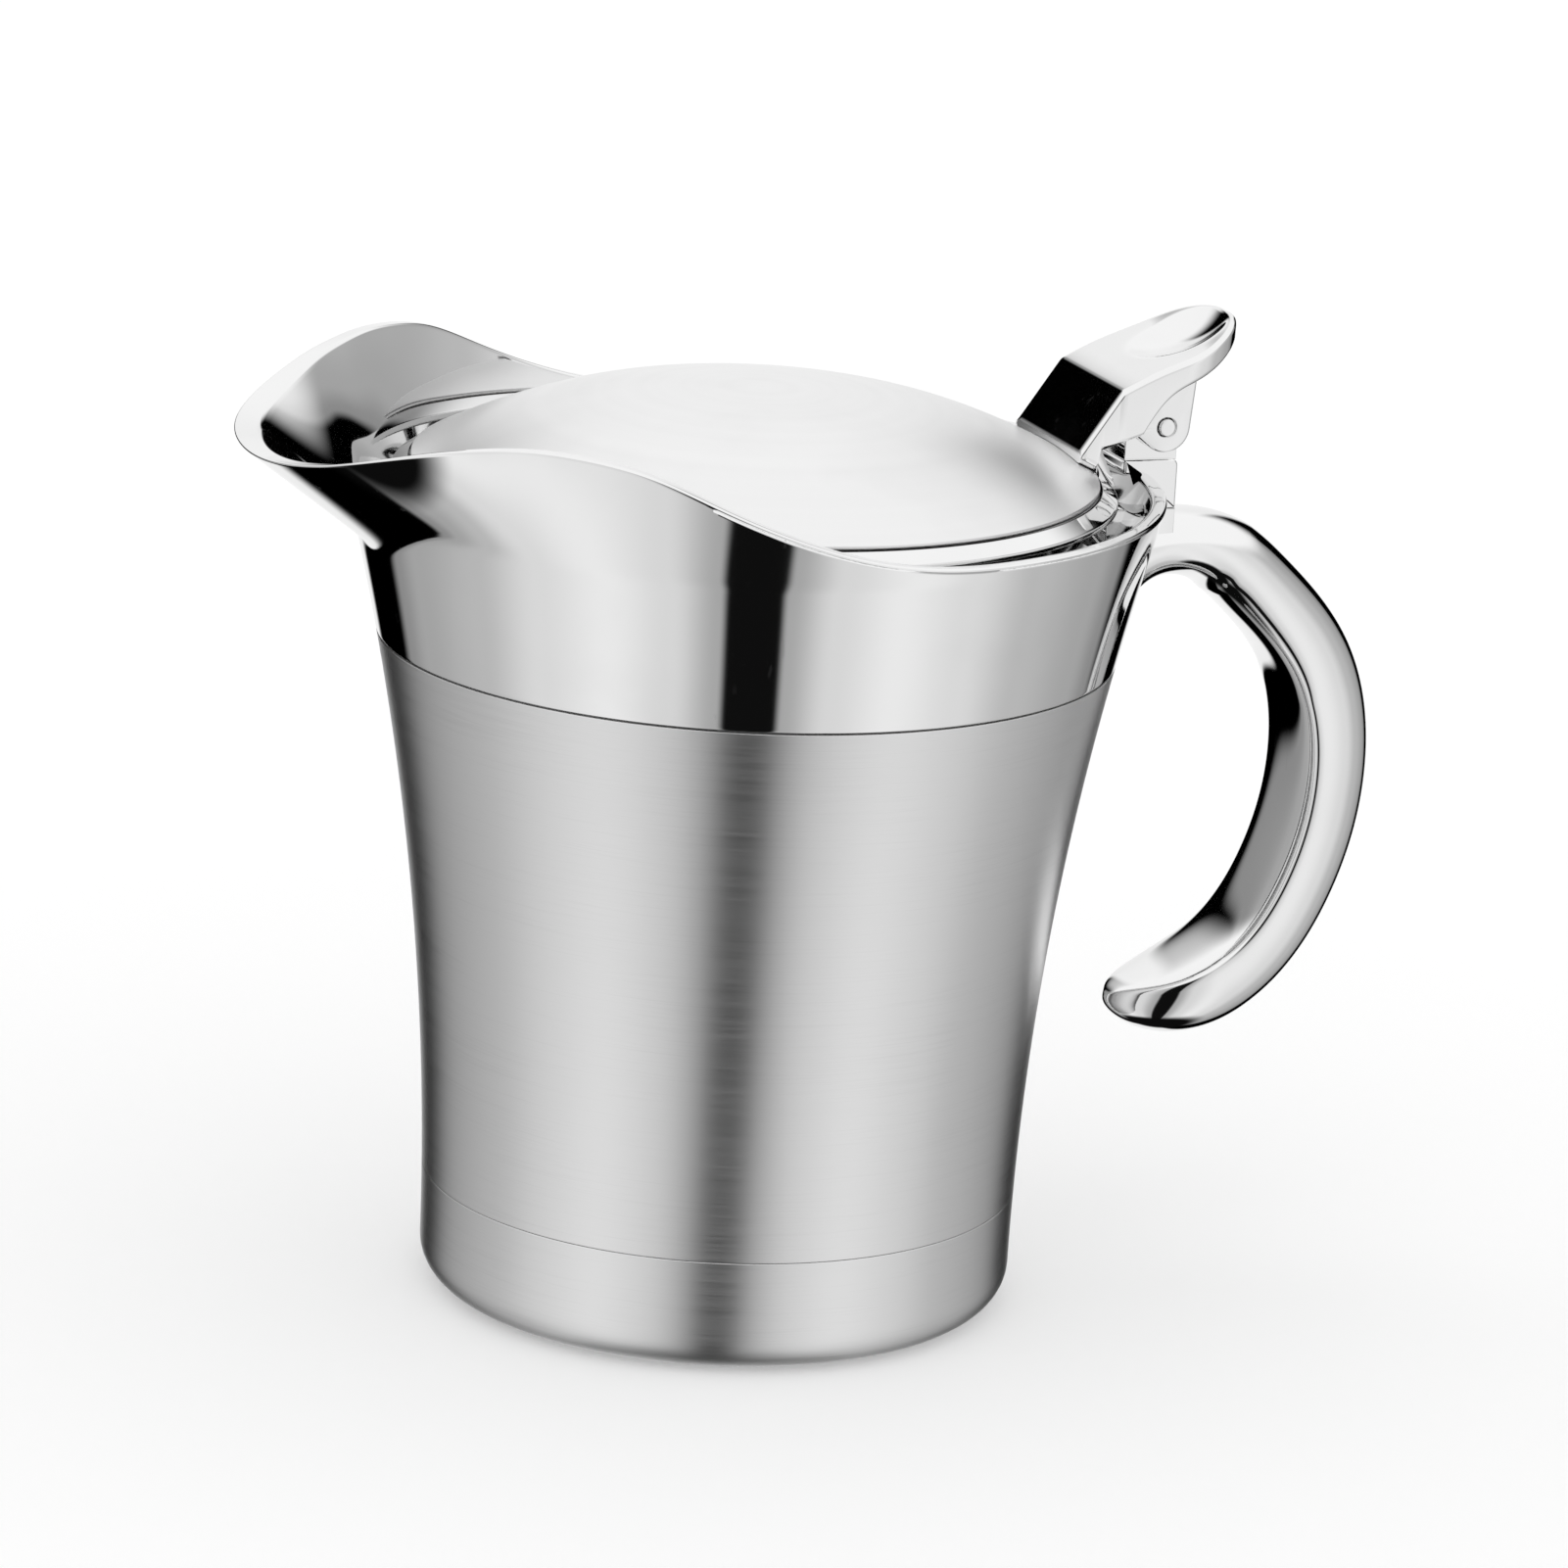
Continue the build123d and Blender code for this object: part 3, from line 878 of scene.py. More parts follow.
class SAUCE_OT_body(ServerPiece, bpy.types.Operator):
    """Make the brushed sleeve between the base cup and the collar"""

    bl_idname = "sauce.body"
    bl_label = "Brushed Body"

    def make(self, server):
        low, high = server.sizes.groove_height, server.sizes.seam_height - SEAM_GAP
        corners = [((side_radius(low), low), SEAM_ROUND)]
        corners += side_run(low, high, inset=0, steps=36)
        corners += [
            ((side_radius(high), high), SEAM_ROUND),
            ((side_radius(high) - BODY_WALL, high), 0),
        ]
        corners += side_run(high, low, inset=BODY_WALL, steps=12)
        corners.append(((side_radius(low) - BODY_WALL, low), 0))
        turned_piece("body_sleeve", corners, "Brushed steel", "jug", "brushed_body", "outer_body")


def cup_corners(floor_z, top_z, inset, edge, steps):
    """Corners of a cup's section from the axis out along the floor and up the side."""
    corner_z = floor_z + edge
    flat_r = side_radius(corner_z) - inset - edge
    corners = [((0, floor_z), 0), ((flat_r / 2, floor_z), 0)]
    for turn in np.linspace(0, pi / 2, 10):
        corners.append(((flat_r + edge * sin(turn), corner_z - edge * cos(turn)), 0))
    corners += side_run(corner_z, top_z, inset, steps)
    return corners


class SAUCE_OT_base(ServerPiece, bpy.types.Operator):
    """Make the base cup with its pressed ring and the lip inside the sleeve"""

    bl_idname = "sauce.base"
    bl_label = "Base Cup"

    def make(self, server):
        groove = server.sizes.groove_height
        top_z = groove - SEAT_CLEARANCE
        lap = BODY_WALL + SEAT_CLEARANCE
        lip_z = groove + LAP_LENGTH
        ring_in, ring_out = RING_R - RING_W / 2, RING_R + RING_W / 2
        outer = cup_corners(0, top_z, 0, BASE_EDGE, steps=12)
        inner = cup_corners(CUP_WALL, groove, CUP_WALL, BASE_EDGE - CUP_WALL, steps=8)
        ring = [
            ((ring_in, 0), SHEET_ROUND),
            ((ring_in, RING_RISE), SHEET_ROUND),
            ((ring_out, RING_RISE), SHEET_ROUND),
            ((ring_out, 0), SHEET_ROUND),
        ]
        upper_in, upper_out = ring_in - CUP_WALL, ring_out + CUP_WALL
        upper_ring = [
            ((upper_out, CUP_WALL), SHEET_ROUND),
            ((upper_out, CUP_WALL + RING_RISE), SHEET_ROUND),
            ((upper_in, CUP_WALL + RING_RISE), SHEET_ROUND),
            ((upper_in, CUP_WALL), SHEET_ROUND),
        ]
        lip = [
            ((side_radius(top_z), top_z), SEAM_ROUND),
            ((side_radius(top_z) - lap, top_z), 0),
            ((side_radius(lip_z) - lap, lip_z), SHEET_ROUND),
            ((side_radius(lip_z) - lap - CUP_WALL, lip_z), SHEET_ROUND),
            ((side_radius(groove) - lap - CUP_WALL, groove), 0),
            ((side_radius(groove) - lap - CUP_WALL, groove - CUP_SHOULDER), 0),
        ]
        corners = [outer[0]] + ring + outer[2:] + lip + inner[:1:-1] + upper_ring + [inner[0]]
        turned_piece("base_pan", corners, "Brushed steel", "jug", "brushed_base", "base_cup")


class SAUCE_OT_liner(ServerPiece, bpy.types.Operator):
    """Make the drawn sauce well inside the jug"""

    bl_idname = "sauce.liner"
    bl_label = "Inner Liner"

    def make(self, server):
        seam = server.sizes.seam_height
        lap_z = seam - LAP_LENGTH
        bend_z = lap_z - LINER_NECK
        top_z = seam + LINER_RISE
        inset = BODY_WALL + LINER_GAP
        lap = server.sizes.collar_wall * sqrt(1 + side_slope(seam) ** 2) + SEAT_CLEARANCE

        def neck(wall, radius):
            """Corners of the neck for one face of the liner's sheet."""
            bend = ((side_radius(bend_z) - inset - wall, bend_z), LINER_BEND)
            turn = ((side_radius(lap_z) - lap - wall, lap_z), LINER_BEND)
            return [bend, turn, ((side_radius(top_z) - lap - wall, top_z), radius)]

        outer, inner = (
            cup_corners(LINER_FLOOR_Z + wall, bend_z, inset + wall, LINER_EDGE - wall, steps=14)
            for wall in (0, LINER_WALL)
        )
        corners = outer + neck(0, 0) + neck(LINER_WALL, SHEET_ROUND)[::-1] + inner[::-1]
        looks = ("Satin steel", "jug", "satin_liner")
        turned_piece("sauce_well", corners, *looks, "inner_liner", TURN_STEPS)


def rim_at(off):
    """Reach past the flared side and height of the rim at angles off the nose."""
    angles = [radians(station[0]) for station in RIM_STATIONS]
    values = [(reach * MM, rise * MM) for _, reach, rise in RIM_STATIONS]
    found = spline(angles, values, 0.0, 0.0)(np.minimum(off, angles[-1]))
    return found[:, 0], settings().sizes.rim_height + found[:, 1]


def collar_radius(off, z, fold):
    """Outer radius of the collar's wall: the flared side, with the spout folded out of it."""
    reach, height = rim_at(off)
    low = BEAK_LOW + (BEAK_SIDE - BEAK_LOW) * ease(np.clip(off / BEAK_ANGLE, 0, 1))
    low = settings().sizes.seam_height + low
    run = (z - low) / (height - low)
    return side_radius(z) + reach * (run + np.sqrt(run * run + fold * fold)) / 2


def collar_wall_rows(wall, angles, steps, fold):
    """Rows of one face of the collar's wall, from the seam up to the rim."""
    off = pi - np.abs(angles)
    low, high = settings().sizes.seam_height + SEAM_GAP, rim_at(off)[1]
    rows = []
    for share in np.linspace(0, 1, steps):
        z = low + (high - low) * share
        radius = collar_radius(off, z, fold)
        if wall:
            above = collar_radius(off, z + SLOPE_STEP, fold)
            below = collar_radius(off, z - SLOPE_STEP, fold)
            beyond = collar_radius(off + SLOPE_TURN, z, fold)
            before = collar_radius(np.abs(off - SLOPE_TURN), z, fold)
            rise = (above - below) / (2 * SLOPE_STEP)
            turn = (beyond - before) / (2 * SLOPE_TURN)
            radius = radius - wall * np.sqrt(1 + rise**2 + (turn / radius) ** 2)
        rows.append(np.column_stack([radius * np.cos(angles), radius * np.sin(angles), z]))
    return rows


class SAUCE_OT_collar(ServerPiece, bpy.types.Operator):
    """Make the polished collar with its saddle-shaped rim and pouring spout"""

    bl_idname = "sauce.collar"
    bl_label = "Spouted Collar"

    def make(self, server):
        sizes = server.sizes
        angles = (np.arange(COLLAR_COLUMNS) + 0.5) * (2 * pi / COLLAR_COLUMNS) - pi
        outer = collar_wall_rows(0, angles, OUTER_ROWS, BEAK_FOLD)
        inner = collar_wall_rows(sizes.collar_wall, angles, INNER_ROWS, BEAK_FOLD_INSIDE)

        def ring(inset, z):
            """A level circle at an inset of the side, point by point with the walls."""
            radius = side_radius(z) - inset
            level = np.full(len(angles), z)
            return np.column_stack([radius * np.cos(angles), radius * np.sin(angles), level])

        seam, neck_z = sizes.seam_height + SEAM_GAP, sizes.seam_height - LAP_LENGTH
        lap = BODY_WALL + SEAT_CLEARANCE
        corners = [(outer[0], SEAM_ROUND)]
        corners += [(row, 0) for row in outer[1:-1]]
        corners += [(outer[-1], sizes.rim_round), (inner[-1], sizes.rim_round)]
        corners += [(row, 0) for row in inner[-2:0:-1]]
        corners += [(inner[0], 0)]
        corners += [(ring(lap + NECK_WALL, seam), 0), (ring(lap + NECK_WALL, neck_z), SHEET_ROUND)]
        corners += [(ring(lap, neck_z), SHEET_ROUND), (ring(lap, seam), 0)]
        mesh = bmesh.new()
        add_grid(mesh, section(corners, turns=5))
        looks = ("Polished steel", "jug", "mirror_collar")
        finished_piece("pouring_collar", mesh, *looks, "spout_collar")


def dome_arch(radius, base_z, height, steps):
    """Points of the dome's section from the crown to the edge."""
    shares = ((0, 1), *DOME_ARCH, (1, 0))
    points = [(out * radius, base_z + up * height) for out, up in shares]
    return bezier(points, np.linspace(0, 1, steps))


class SAUCE_OT_lid(ServerPiece, bpy.types.Operator):
    """Make the lid's dome and the dished pan whose flange shows round it"""

    bl_idname = "sauce.lid"
    bl_label = "Lid"

    def make(self, server):
        sizes = server.sizes
        dome_z = sizes.rim_height + DOME_RISE
        ledge_z = dome_z - DOME_LIP
        flange_z = sizes.rim_height - FLANGE_DROP
        radius, wall = sizes.dome_radius, LID_WALL
        height = sizes.dome_height
        outer = dome_arch(radius, dome_z, height, steps=60)
        inner = dome_arch(radius - wall, dome_z - wall / 2, height - wall / 2, steps=40)
        corners = [(point, 0) for point in outer[:-1]]
        corners += [
            ((radius, dome_z), SHEET_ROUND),
            ((radius, ledge_z), 0),
            ((radius - wall, ledge_z), 0),
        ]
        corners += [(point, 0) for point in inner[::-1]]
        turned_piece("dome", corners, "Spun steel", "lid", "mirror_lid", "lid_dome")
        floor_z = ledge_z - PAN_DEPTH
        pan_r = radius - PAN_INSET
        groove_r = radius + EDGE_GROOVE
        groove_z = ledge_z - EDGE_GROOVE_DEPTH
        corners = [
            ((0, floor_z), 0),
            ((pan_r, floor_z), PAN_ROUND),
            ((pan_r, groove_z - wall), SHEET_ROUND),
            ((groove_r, groove_z - wall), SHEET_ROUND),
            ((sizes.flange_radius, flange_z - wall), SHEET_ROUND),
            ((sizes.flange_radius, flange_z), SHEET_ROUND),
            ((groove_r, ledge_z), SHEET_ROUND / 2),
            ((groove_r, groove_z), 0),
            ((radius - wall, groove_z), 0),
            ((radius - wall, ledge_z), 0),
            ((pan_r - wall, ledge_z), 0),
            ((pan_r - wall, floor_z + wall), 0),
            ((0, floor_z + wall), 0),
        ]
        turned_piece("lid_dish", corners, "Polished steel", "lid", "mirror_pan", "lid_pan")


def pin_place():
    """The middle of the hinge pin, taken from the frame's joint."""
    return Vector(frame["joints"][0]["pos_m"])


class SAUCE_OT_hinge(ServerPiece, bpy.types.Operator):
    """Make the hinge pin and the bracket that hooks over the rim"""

    bl_idname = "sauce.hinge"
    bl_label = "Hinge"

    def make(self, server):
        half = LUG_IN + LUG_THICK + PIN_PROUD
        radius = server.sizes.pin_radius
        corners = [
            ((0, -half), 0),
            ((radius / 2, -half), 0),
            ((radius, -half), PIN_ROUND),
            ((radius, half), PIN_ROUND),
            ((radius / 2, half), 0),
            ((0, half), 0),
        ]
        grid = turned(section(corners, closed=False), PIN_STEPS)
        mesh = bmesh.new()
        add_grid(mesh, grid[:, :, [0, 2, 1]] + np.array(pin_place()), joined=False)
        finished_piece("pin", mesh, "Polished steel", "jug", "steel_pin", "hinge_pin")

        mesh = bmesh.new()
        block = section(BRACKET_BLOCK, turns=6) * MM
        edge = server.sizes.lever_round * BRACKET_ROUND_SHARE
        slab(mesh, block, -BRACKET_HALF, BRACKET_HALF, edge)
        tongue = [(TONGUE_R * cos(t), TONGUE_R * sin(t)) for t in np.linspace(TONGUE_BACK, 0, 25)]
        tongue += [(TONGUE_R, TONGUE_LOW), (TONGUE_FRONT, TONGUE_LOW), (TONGUE_FRONT, -STEP_DROP)]
        slab(mesh, np.array(tongue) * MM, -TONGUE_HALF, TONGUE_HALF, SHEET_ROUND)
        looks = ("Polished steel", "jug", "mirror_hinge")
        hard_faces(finished_piece("bracket", mesh, *looks, "hinge_bracket"))


def soft_least(first, second, round_off):
    """The lesser of two values, with the corner between them rounded off."""
    return (first + second - np.sqrt((first - second) ** 2 + round_off**2)) / 2


def lid_top(x, y):
    """Height of the lid's top above the pin at places measured from the pin, in millimetres."""
    sizes = settings().sizes
    pin = pin_place()
    radius = np.hypot(x * MM + pin.x, y * MM)
    base = sizes.rim_height + DOME_RISE
    arch = dome_arch(sizes.dome_radius, base, sizes.dome_height, steps=200)
    dome = np.interp(radius, arch[:, 0], arch[:, 1])
    flange = np.interp(
        radius,
        [sizes.dome_radius, sizes.flange_radius],
        [base - DOME_LIP, sizes.rim_height - FLANGE_DROP],
    )
    top = np.where(radius < sizes.dome_radius + DOME_SKIRT, dome, flange)
    return (top - pin.z + LID_CLEARANCE) / MM


def line_height(points, x):
    """Height of the smooth line through points, at places x."""
    knots, heights = zip(*points)
    return spline(knots, heights)(x.ravel()).reshape(x.shape)


def lever_top(x, y):
    """Height of the lever's upper side: front face, brow, top line and the thumb dish."""
    slope = (LEVER_BROW[1] - LEVER_FRONT[1]) / (LEVER_BROW[0] - LEVER_FRONT[0])
    front = LEVER_FRONT[1] + (x - LEVER_FRONT[0]) * slope
    top = soft_least(front, line_height(LEVER_TOP, x), BROW_ROUND)
    depth = DISH_R**2 - (x - DISH_PLACE[0]) ** 2 - y**2
    bowl = DISH_PLACE[1] - np.sqrt(np.maximum(depth, 1.0))
    return np.where(depth > 1.0, soft_least(top, bowl, DISH_ROUND), top)


def lever_under(x, y):
    """Height of the lever's underside, kept clear of the lid."""
    heel = np.interp(x, *zip(*LEVER_HEEL))
    under = np.where(x < LEVER_HEEL[-1][0], heel, line_height(LEVER_UNDER, x))
    return np.maximum(under, lid_top(x, y))


class SAUCE_OT_lever(ServerPiece, bpy.types.Operator):
    """Make the cast thumb lever on the lid's rear edge"""

    bl_idname = "sauce.lever"
    bl_label = "Thumb Lever"

    def plan(self, inset):
        """Stations along the lever and its half width there, for an outline moved inward."""
        radius = LEVER_HALF - LEVER_TIP_FLAT
        bend = LEVER_REACH - radius
        places = (LEVER_FRONT[0], LEVER_BROW[0] - BROW_BAND, LEVER_BROW[0] + BROW_BAND, bend)
        *straight, around = LEVER_ROWS
        x = [
            np.linspace(start, end, rows, endpoint=False)
            for start, end, rows in zip(places, places[1:], straight)
        ]
        x.append(bend + (radius - inset) * np.sin(np.linspace(0, pi / 2, around)))
        x = np.concatenate(x)
        half = np.full(len(x), LEVER_HALF - inset)
        tip = x > bend
        run = np.maximum((radius - inset) ** 2 - (x[tip] - bend) ** 2, 0)
        half[tip] = LEVER_TIP_FLAT + np.sqrt(run)
        return x, half

    def ladder(self, inset, height):
        """A grid over the plan with heights from a function of place."""
        x, half = self.plan(inset)
        xx = np.repeat(x[:, None], LEVER_COLUMNS, axis=1)
        yy = half[:, None] * np.linspace(1, -1, LEVER_COLUMNS)
        return np.stack([xx, yy, height(xx, yy)], axis=-1)

    def perimeter(self, grid):
        """The points round the edge of a ladder, in order."""
        return np.concatenate([grid[:, 0], grid[-1, 1:-1], grid[::-1, -1], grid[0, -2:0:-1]])

    def body(self, mesh, edge):
        """The wedge from the front face back to the thumb end, with its edges rounded."""
        pin = np.array(pin_place())
        levels = []
        for height, sign in ((lever_top, 1), (lever_under, -1)):
            for t in np.linspace(0, pi / 2, 5)[::sign]:
                grid = self.ladder(edge * (1 - sin(t)), height)
                xx, yy = grid[:, :, 0], grid[:, :, 1]
                thick = lever_top(xx, yy) - lever_under(xx, yy)
                grid[:, :, 2] -= sign * np.clip(EDGE_SHARE * thick, LEAST_EDGE, edge) * (1 - cos(t))
                levels.append(grid)
        for grid in (levels[0], levels[-1]):
            verts = [[mesh.verts.new(point * MM + pin) for point in row] for row in grid]
            for row, after in zip(verts, verts[1:]):
                for j in range(len(row) - 1):
                    mesh.faces.new((row[j], row[j + 1], after[j + 1], after[j]))
        rings = np.array([self.perimeter(grid) for grid in levels]) * MM + pin
        add_grid(mesh, rings, joined=False)

    def foot(self, mesh):
        """The foot that stands on the lid's flange."""
        sizes = settings().sizes
        pin = pin_place()
        ledge = (sizes.rim_height + DOME_RISE - DOME_LIP - pin.z + LID_CLEARANCE) / MM
        half = LEVER_HALF - FOOT_INSET
        rows = []
        for y in np.linspace(-half, half, 25):
            face = (sqrt((sizes.dome_radius + LID_CLEARANCE) ** 2 - (y * MM) ** 2) - pin.x) / MM
            top = (FOOT_BACK_TOP[0], y, FOOT_BACK_TOP[1])
            low = (FOOT_BACK_LOW, y, float(lid_top(np.array(FOOT_BACK_LOW), np.array(y))))
            rows.append([(face, y, FOOT_TOP), top, low, (face, y, ledge)])
        add_grid(mesh, np.array(rows) * MM + np.array(pin), joined=False, lids=True)

    def lug(self, mesh, side, edge):
        """One of the two ears that hold the pin, with the open ring round the pin's end."""
        turn = np.linspace(0, 2 * pi, LUG_STEPS, endpoint=False)
        facing = np.linspace(0, 2 * pi, HULL_STEPS, endpoint=False)
        support = np.full(len(facing), LUG_ROUND)
        for x, z in LUG_ROOTS:
            support = np.maximum(support, x * np.cos(facing) + z * np.sin(facing))
        lean = np.cos(facing - turn[:, None])
        across = np.where(lean > LEAST_LEAN, support / np.maximum(lean, LEAST_LEAN), np.inf)
        reach = np.min(across, axis=1)
        around = np.column_stack([np.cos(turn), np.sin(turn)])
        low, high = sorted((side * LUG_IN, side * (LUG_IN + LUG_THICK)))
        slab(mesh, around * reach[:, None] * MM, low, high, edge * MM, around * LUG_HOLE)

    def make(self, server):
        mesh = bmesh.new()
        edge = server.sizes.lever_round / MM
        self.body(mesh, edge)
        self.foot(mesh)
        for side in (1, -1):
            self.lug(mesh, side, edge * LUG_ROUND_SHARE)
        looks = ("Polished steel", "lid", "mirror_lever")
        hard_faces(finished_piece("thumb_piece", mesh, *looks, "thumb_lever"))


def fading(s, start):
    """Share left of a measure that runs out in a quarter round from start to the tip."""
    return sqrt(max(1 - (max(s - start, 0) / (1 - start)) ** 2, LEAST_TIP))


def handle_outline(s):
    """Section of the handle at share s: keeled below at the root, flat further on."""
    sizes = settings().sizes
    root = max(1 - s / ROOT_SHARE, 0) ** 2
    keel = cos(pi / 2 * min(s / KEEL_SHARE, 1))
    waist = ROOT_WAIST * sin(pi * min(s / WAIST_SHARE, 1))
    thin = fading(s, TIP_THIN_FROM)
    h = (sizes.handle_thickness - waist) / 2 * thin + ROOT_FLARE * root
    w = sizes.handle_width / 2 * fading(s, TIP_NARROW_FROM) + ROOT_SPREAD * root
    corner = (HANDLE_EDGE + HANDLE_KEEL * keel) * thin
    flat_end = (w * np.interp(keel, (0, 1), LOWER_FLAT), -h)
    bend = (w, corner * np.interp(keel, (0, 1), LOWER_BEND) - h)
    widest = (w, corner - h)
    lower = ((0, -h), flat_end, bend, widest)
    upper = (widest, (w, UPPER_BEND * h), (UPPER_FLAT * w, h), (0, h))
    shares = np.linspace(0, 1, SIDE_POINTS, endpoint=False)
    right = np.concatenate([bezier(lower, shares), bezier(upper, shares), [(0, h)]])
    left = right[-2:0:-1] * (-1, 1)
    return np.concatenate([right, left])


def handle_line():
    """The handle's middle line, which gives a place for a share of its length."""
    root_x = side_radius(ROOT_Z)
    points = [(root_x - ROOT_BURIED, ROOT_Z - ROOT_SINK)]
    for out, down in HANDLE_LINE:
        points.append((root_x + out * HANDLE_OUT, ROOT_Z + down * HANDLE_DROP))
    points = np.array(points)
    runs = np.linalg.norm(np.diff(points, axis=0), axis=1)
    knots = np.concatenate([[0], np.cumsum(runs)]) / runs.sum()
    return spline(knots, points)


class SAUCE_OT_handle(ServerPiece, bpy.types.Operator):
    """Make the open handle"""

    bl_idname = "sauce.handle"
    bl_label = "Handle"

    def make(self, server):
        line = handle_line()
        body = np.linspace(0, TIP_THIN_FROM, HANDLE_ROWS)
        turn = np.linspace(0, pi / 2, TIP_ROWS)[1:]
        tip = TIP_THIN_FROM + (1 - TIP_THIN_FROM) * np.sin(turn)
        grid = []
        for s in np.concatenate([body, np.minimum(tip, LAST_SHARE)]):
            place = line(s)[0]
            ahead = (line(min(s + LINE_STEP, 1)) - line(max(s - LINE_STEP, 0)))[0]
            ahead /= np.linalg.norm(ahead)
            outline = handle_outline(s)
            row = np.empty((len(outline), 3))
            row[:, 0] = place[0] - ahead[1] * outline[:, 1]
            row[:, 1] = outline[:, 0]
            row[:, 2] = place[1] + ahead[0] * outline[:, 1]
            grid.append(row)
        grid = np.array(grid)
        radius = np.hypot(grid[:, :, 0], grid[:, :, 1])
        least = side_radius(grid[:, :, 2]) - ROOT_DEPTH
        grid[:, :, :2] *= np.maximum(least / radius, 1)[:, :, None]
        mesh = bmesh.new()
        add_grid(mesh, grid, joined=False, lids=True)
        self.pad(mesh)
        finished_piece("grip", mesh, "Polished steel", "jug", "mirror_handle", "handle")

    def pad(self, mesh):
        """The flat pad under the hinge bracket."""
        root = side_radius(ROOT_Z) - ROOT_BURIED - pin_place().x
        back = TONGUE_R * MM
        top = BRACKET_BLOCK[3][0][1] * MM
        low = top - PAD_DEPTH
        pad = [((root, top), 0), ((back, top), 0), ((back, low), SHEET_ROUND), ((root, low), 0)]
        slab(mesh, section(pad), -BRACKET_HALF, BRACKET_HALF, SHEET_ROUND)


# Stage


def view_axes():
    """Level right, forward and up of the camera before its roll."""
    a, e = VIEW_TURN, VIEW_HEIGHT
    right = Vector((cos(a), -sin(a), 0))
    forward = Vector((sin(a) * cos(e), cos(a) * cos(e), -sin(e)))
    up = Vector((sin(a) * sin(e), cos(a) * sin(e), cos(e)))
    return right, forward, up


# Brightness of the tent's wall by the angle off the slit, as shares of half a turn
TENT_STOPS = (
    (0.0, 0.005),
    (0.045, 0.005),
    (0.062, 0.42),
    (0.15, 0.74),
    (0.27, 0.9),
    (0.40, 0.76),
    (0.53, 0.52),
    (0.68, 0.40),
    (0.745, 0.28),
    (0.775, 0.0),
    (0.90, 0.0),
    (0.93, 0.9),
    (1.0, 0.95),
)


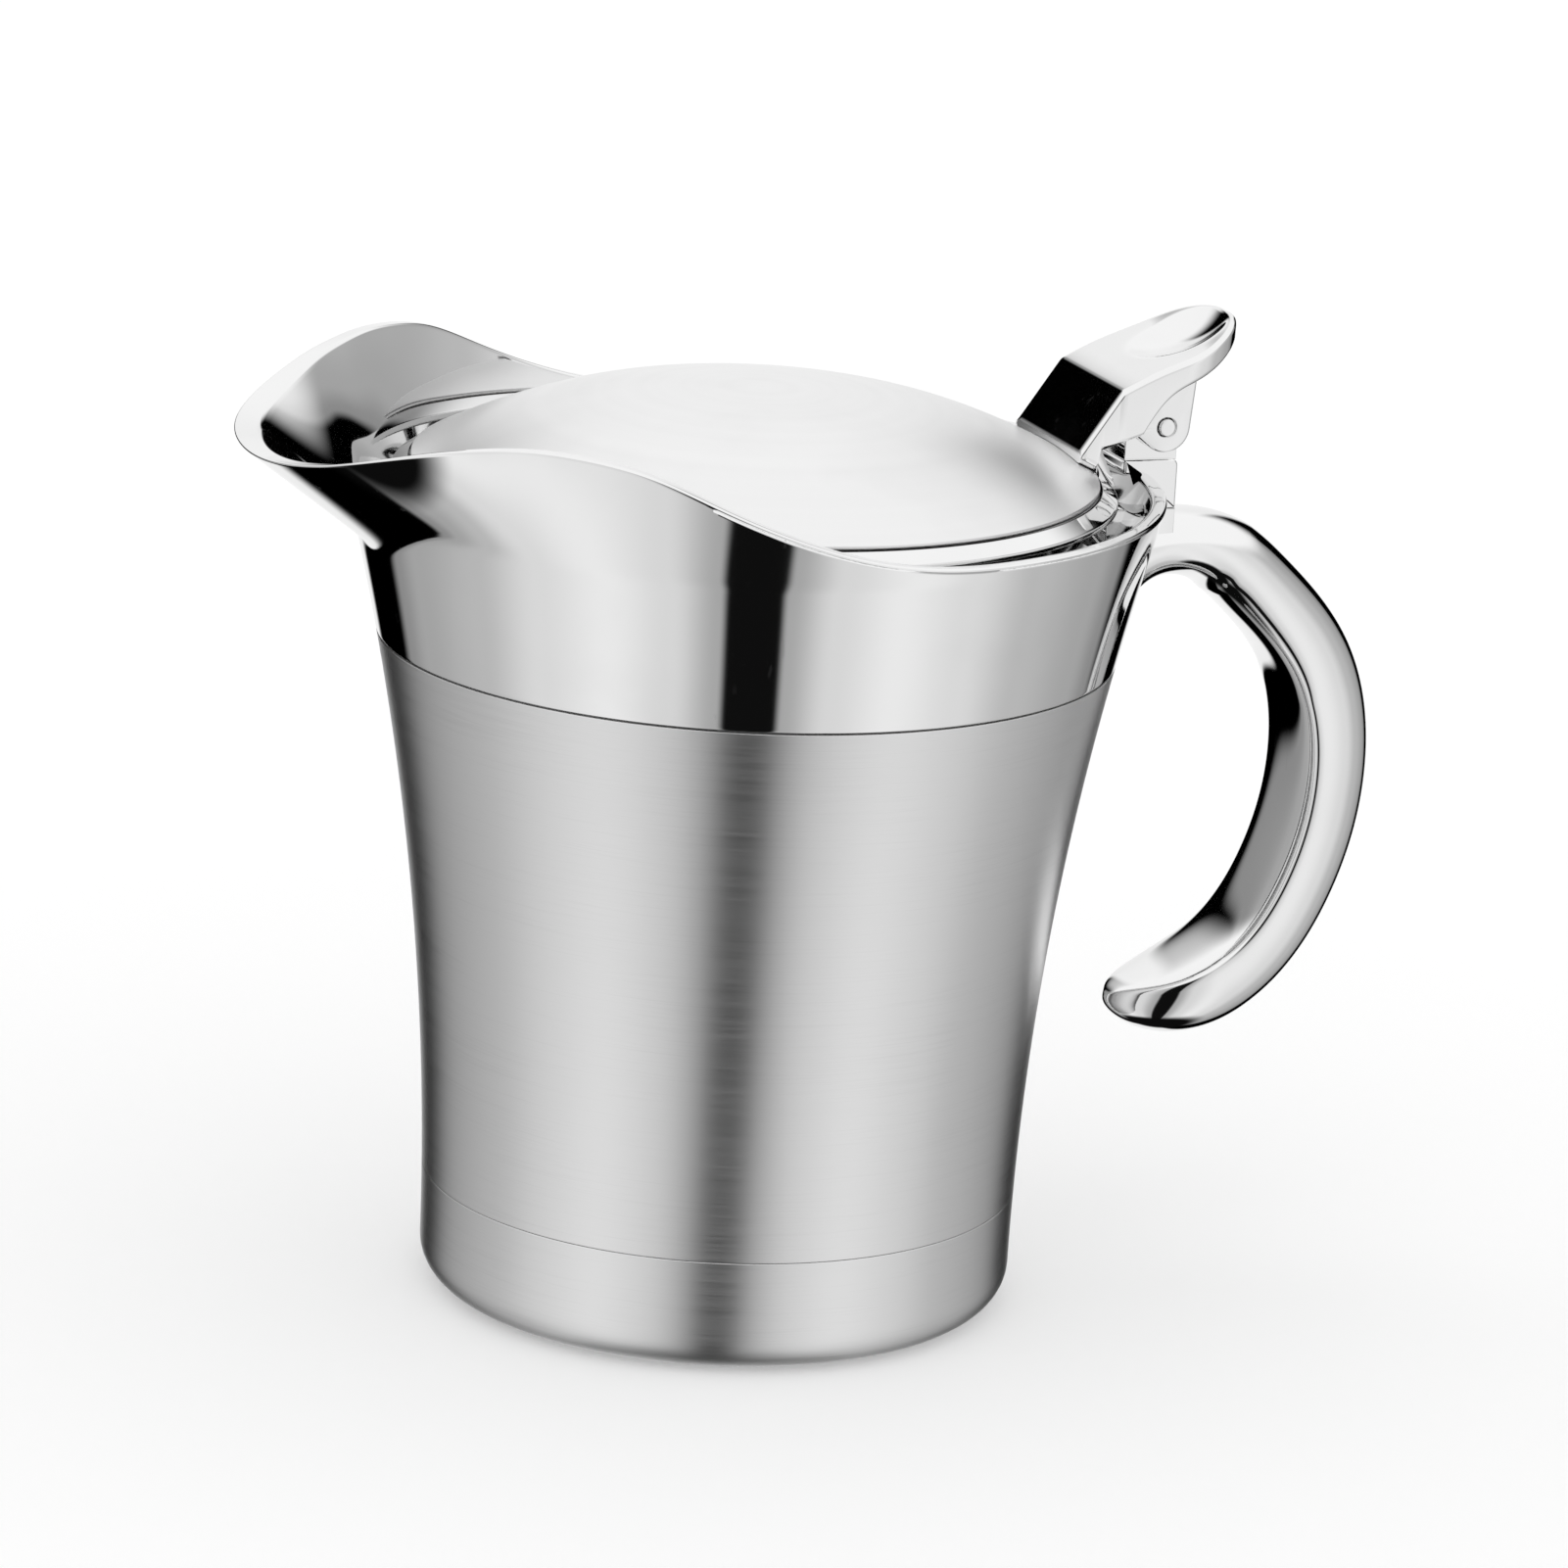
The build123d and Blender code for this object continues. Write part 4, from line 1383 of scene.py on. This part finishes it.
class SAUCE_OT_stage(bpy.types.Operator):
    """Make the floor, the light tent and the camera"""

    bl_idname = "sauce.stage"
    bl_label = "Stage"
    bl_options = {"REGISTER", "UNDO"}

    def execute(self, context):
        stage = context.scene.sauce_server.stage
        self.camera(context)
        self.tent(context, stage)
        self.floor(context, stage)
        context.scene.view_settings.view_transform = "Standard"
        return {"FINISHED"}

    def camera(self, context):
        """The camera at the photograph's angle."""
        right, forward, up = view_axes()
        data = bpy.data.cameras.new("Camera")
        data.sensor_width = SENSOR_MM
        data.lens = LENS_MM
        data.clip_start, data.clip_end = CLIP
        camera = bpy.data.objects.new("Camera", data)
        context.scene.collection.objects.link(camera)
        place = VIEW_AIM - VIEW_DISTANCE * forward + VIEW_RIGHT * right + VIEW_UP * up
        x_axis = cos(VIEW_ROLL) * right + sin(VIEW_ROLL) * up
        y_axis = cos(VIEW_ROLL) * up - sin(VIEW_ROLL) * right
        turn = Matrix((x_axis, y_axis, -forward)).transposed()
        camera.matrix_world = Matrix.Translation(place) @ turn.to_4x4()
        context.scene.camera = camera

    def tent(self, context, stage):
        """A white tent that metal mirrors with its dark slit, and plain white to the camera."""
        world = bpy.data.worlds.new("Light tent")
        context.scene.world = world
        world.use_nodes = True
        tree = Tree(world.node_tree)
        right, forward, up = view_axes()
        toward = Vector((-forward.x, -forward.y, 0)).normalized()
        direction = tree.node("ShaderNodeTexCoord", output="Generated")

        def along(axis):
            return tree.node(
                "ShaderNodeVectorMath",
                {"operation": "DOT_PRODUCT"},
                {0: direction, 1: tuple(axis)},
                output="Value",
            )

        turn = direction.math("ARCTAN2", along(right), along(toward))
        off_slit = abs(turn - stage.slit_turn) / pi
        wall = tree.node("ShaderNodeValToRGB", {"stops": TENT_STOPS}, {"Fac": off_slit})
        height = along(Vector((0, 0, 1)))
        tent = tree.blend(tree.smooth(height, *ROOF_BAND), wall, WHITE)
        tent = tree.blend(tree.smooth(0 - height, *GROUND_BAND), tent, DARK)
        glossy = tree.node("ShaderNodeLightPath", output="Is Glossy Ray")
        passing = tree.node("ShaderNodeLightPath", output="Is Transmission Ray")
        mirrored = glossy.math("MAXIMUM", glossy, passing)
        colour = tree.blend(mirrored, WHITE, tent)
        background = tree.node(
            "ShaderNodeBackground", None, {"Color": colour, "Strength": stage.light_level}
        )
        tree.node("ShaderNodeOutputWorld", None, {"Surface": background})

    def floor(self, context, stage):
        """A wide pale floor that keeps the object's shadow and shows white to the camera."""
        mesh = bmesh.new()
        bmesh.ops.create_circle(mesh, cap_ends=True, segments=FLOOR_STEPS, radius=FLOOR_RADIUS)
        data = bpy.data.meshes.new("Floor")
        mesh.to_mesh(data)
        mesh.free()
        floor = bpy.data.objects.new("Floor", data)
        floor.location.z = -FLOOR_DROP
        context.scene.collection.objects.link(floor)
        floor.visible_glossy = False
        material = bpy.data.materials.new("Pale floor")
        material.use_nodes = True
        tree = Tree(material.node_tree)
        seen = tree.node("ShaderNodeLightPath", output="Is Camera Ray")
        lift = FLOOR_WHITE - stage.floor_colour[0]
        glow = tree.blend(seen, (0, 0, 0, 1), (lift, lift, lift, 1))
        shader = tree.node(
            "ShaderNodeBsdfPrincipled",
            None,
            {
                "Base Color": (*stage.floor_colour, 1),
                "Roughness": FLOOR_ROUGHNESS,
                "Specular IOR Level": 0.0,
                "Emission Color": glow,
                "Emission Strength": 1.0,
            },
        )
        tree.node("ShaderNodeOutputMaterial", None, {"Surface": shader})
        data.materials.append(material)


# Add-on


PIECES = (
    SAUCE_OT_body,
    SAUCE_OT_base,
    SAUCE_OT_liner,
    SAUCE_OT_collar,
    SAUCE_OT_lid,
    SAUCE_OT_hinge,
    SAUCE_OT_lever,
    SAUCE_OT_handle,
    SAUCE_OT_stage,
)


class SAUCE_PT_panel(bpy.types.Panel):
    """Sidebar panel with the server's sizes, finishes and pieces."""

    bl_idname = "SAUCE_PT_panel"
    bl_label = "Sauce Server"
    bl_space_type = "VIEW_3D"
    bl_region_type = "UI"
    bl_category = "Sauce Server"

    def draw(self, context):
        server = context.scene.sauce_server
        groups = {"Sizes": server.sizes, "Finish": server.finish, "Stage": server.stage}
        for title, group in groups.items():
            box = self.layout.box()
            box.label(text=title)
            for name in group.__annotations__:
                box.prop(group, name)
        for operator in PIECES:
            self.layout.operator(operator.bl_idname)


CLASSES = (ServerSizes, ServerFinish, ServerStage, ServerSettings, *PIECES, SAUCE_PT_panel)


def register():
    for kind in CLASSES:
        bpy.utils.register_class(kind)
    bpy.types.Scene.sauce_server = PointerProperty(type=ServerSettings)


def unregister():
    del bpy.types.Scene.sauce_server
    for kind in reversed(CLASSES):
        bpy.utils.unregister_class(kind)


def main():
    """Builds every piece and the stage."""
    register()
    bpy.ops.sauce.body()
    bpy.ops.sauce.base()
    bpy.ops.sauce.liner()
    bpy.ops.sauce.collar()
    bpy.ops.sauce.lid()
    bpy.ops.sauce.hinge()
    bpy.ops.sauce.lever()
    bpy.ops.sauce.handle()
    bpy.ops.sauce.stage()
    bpy.context.view_layer.update()


if __name__ == "__main__":
    main()
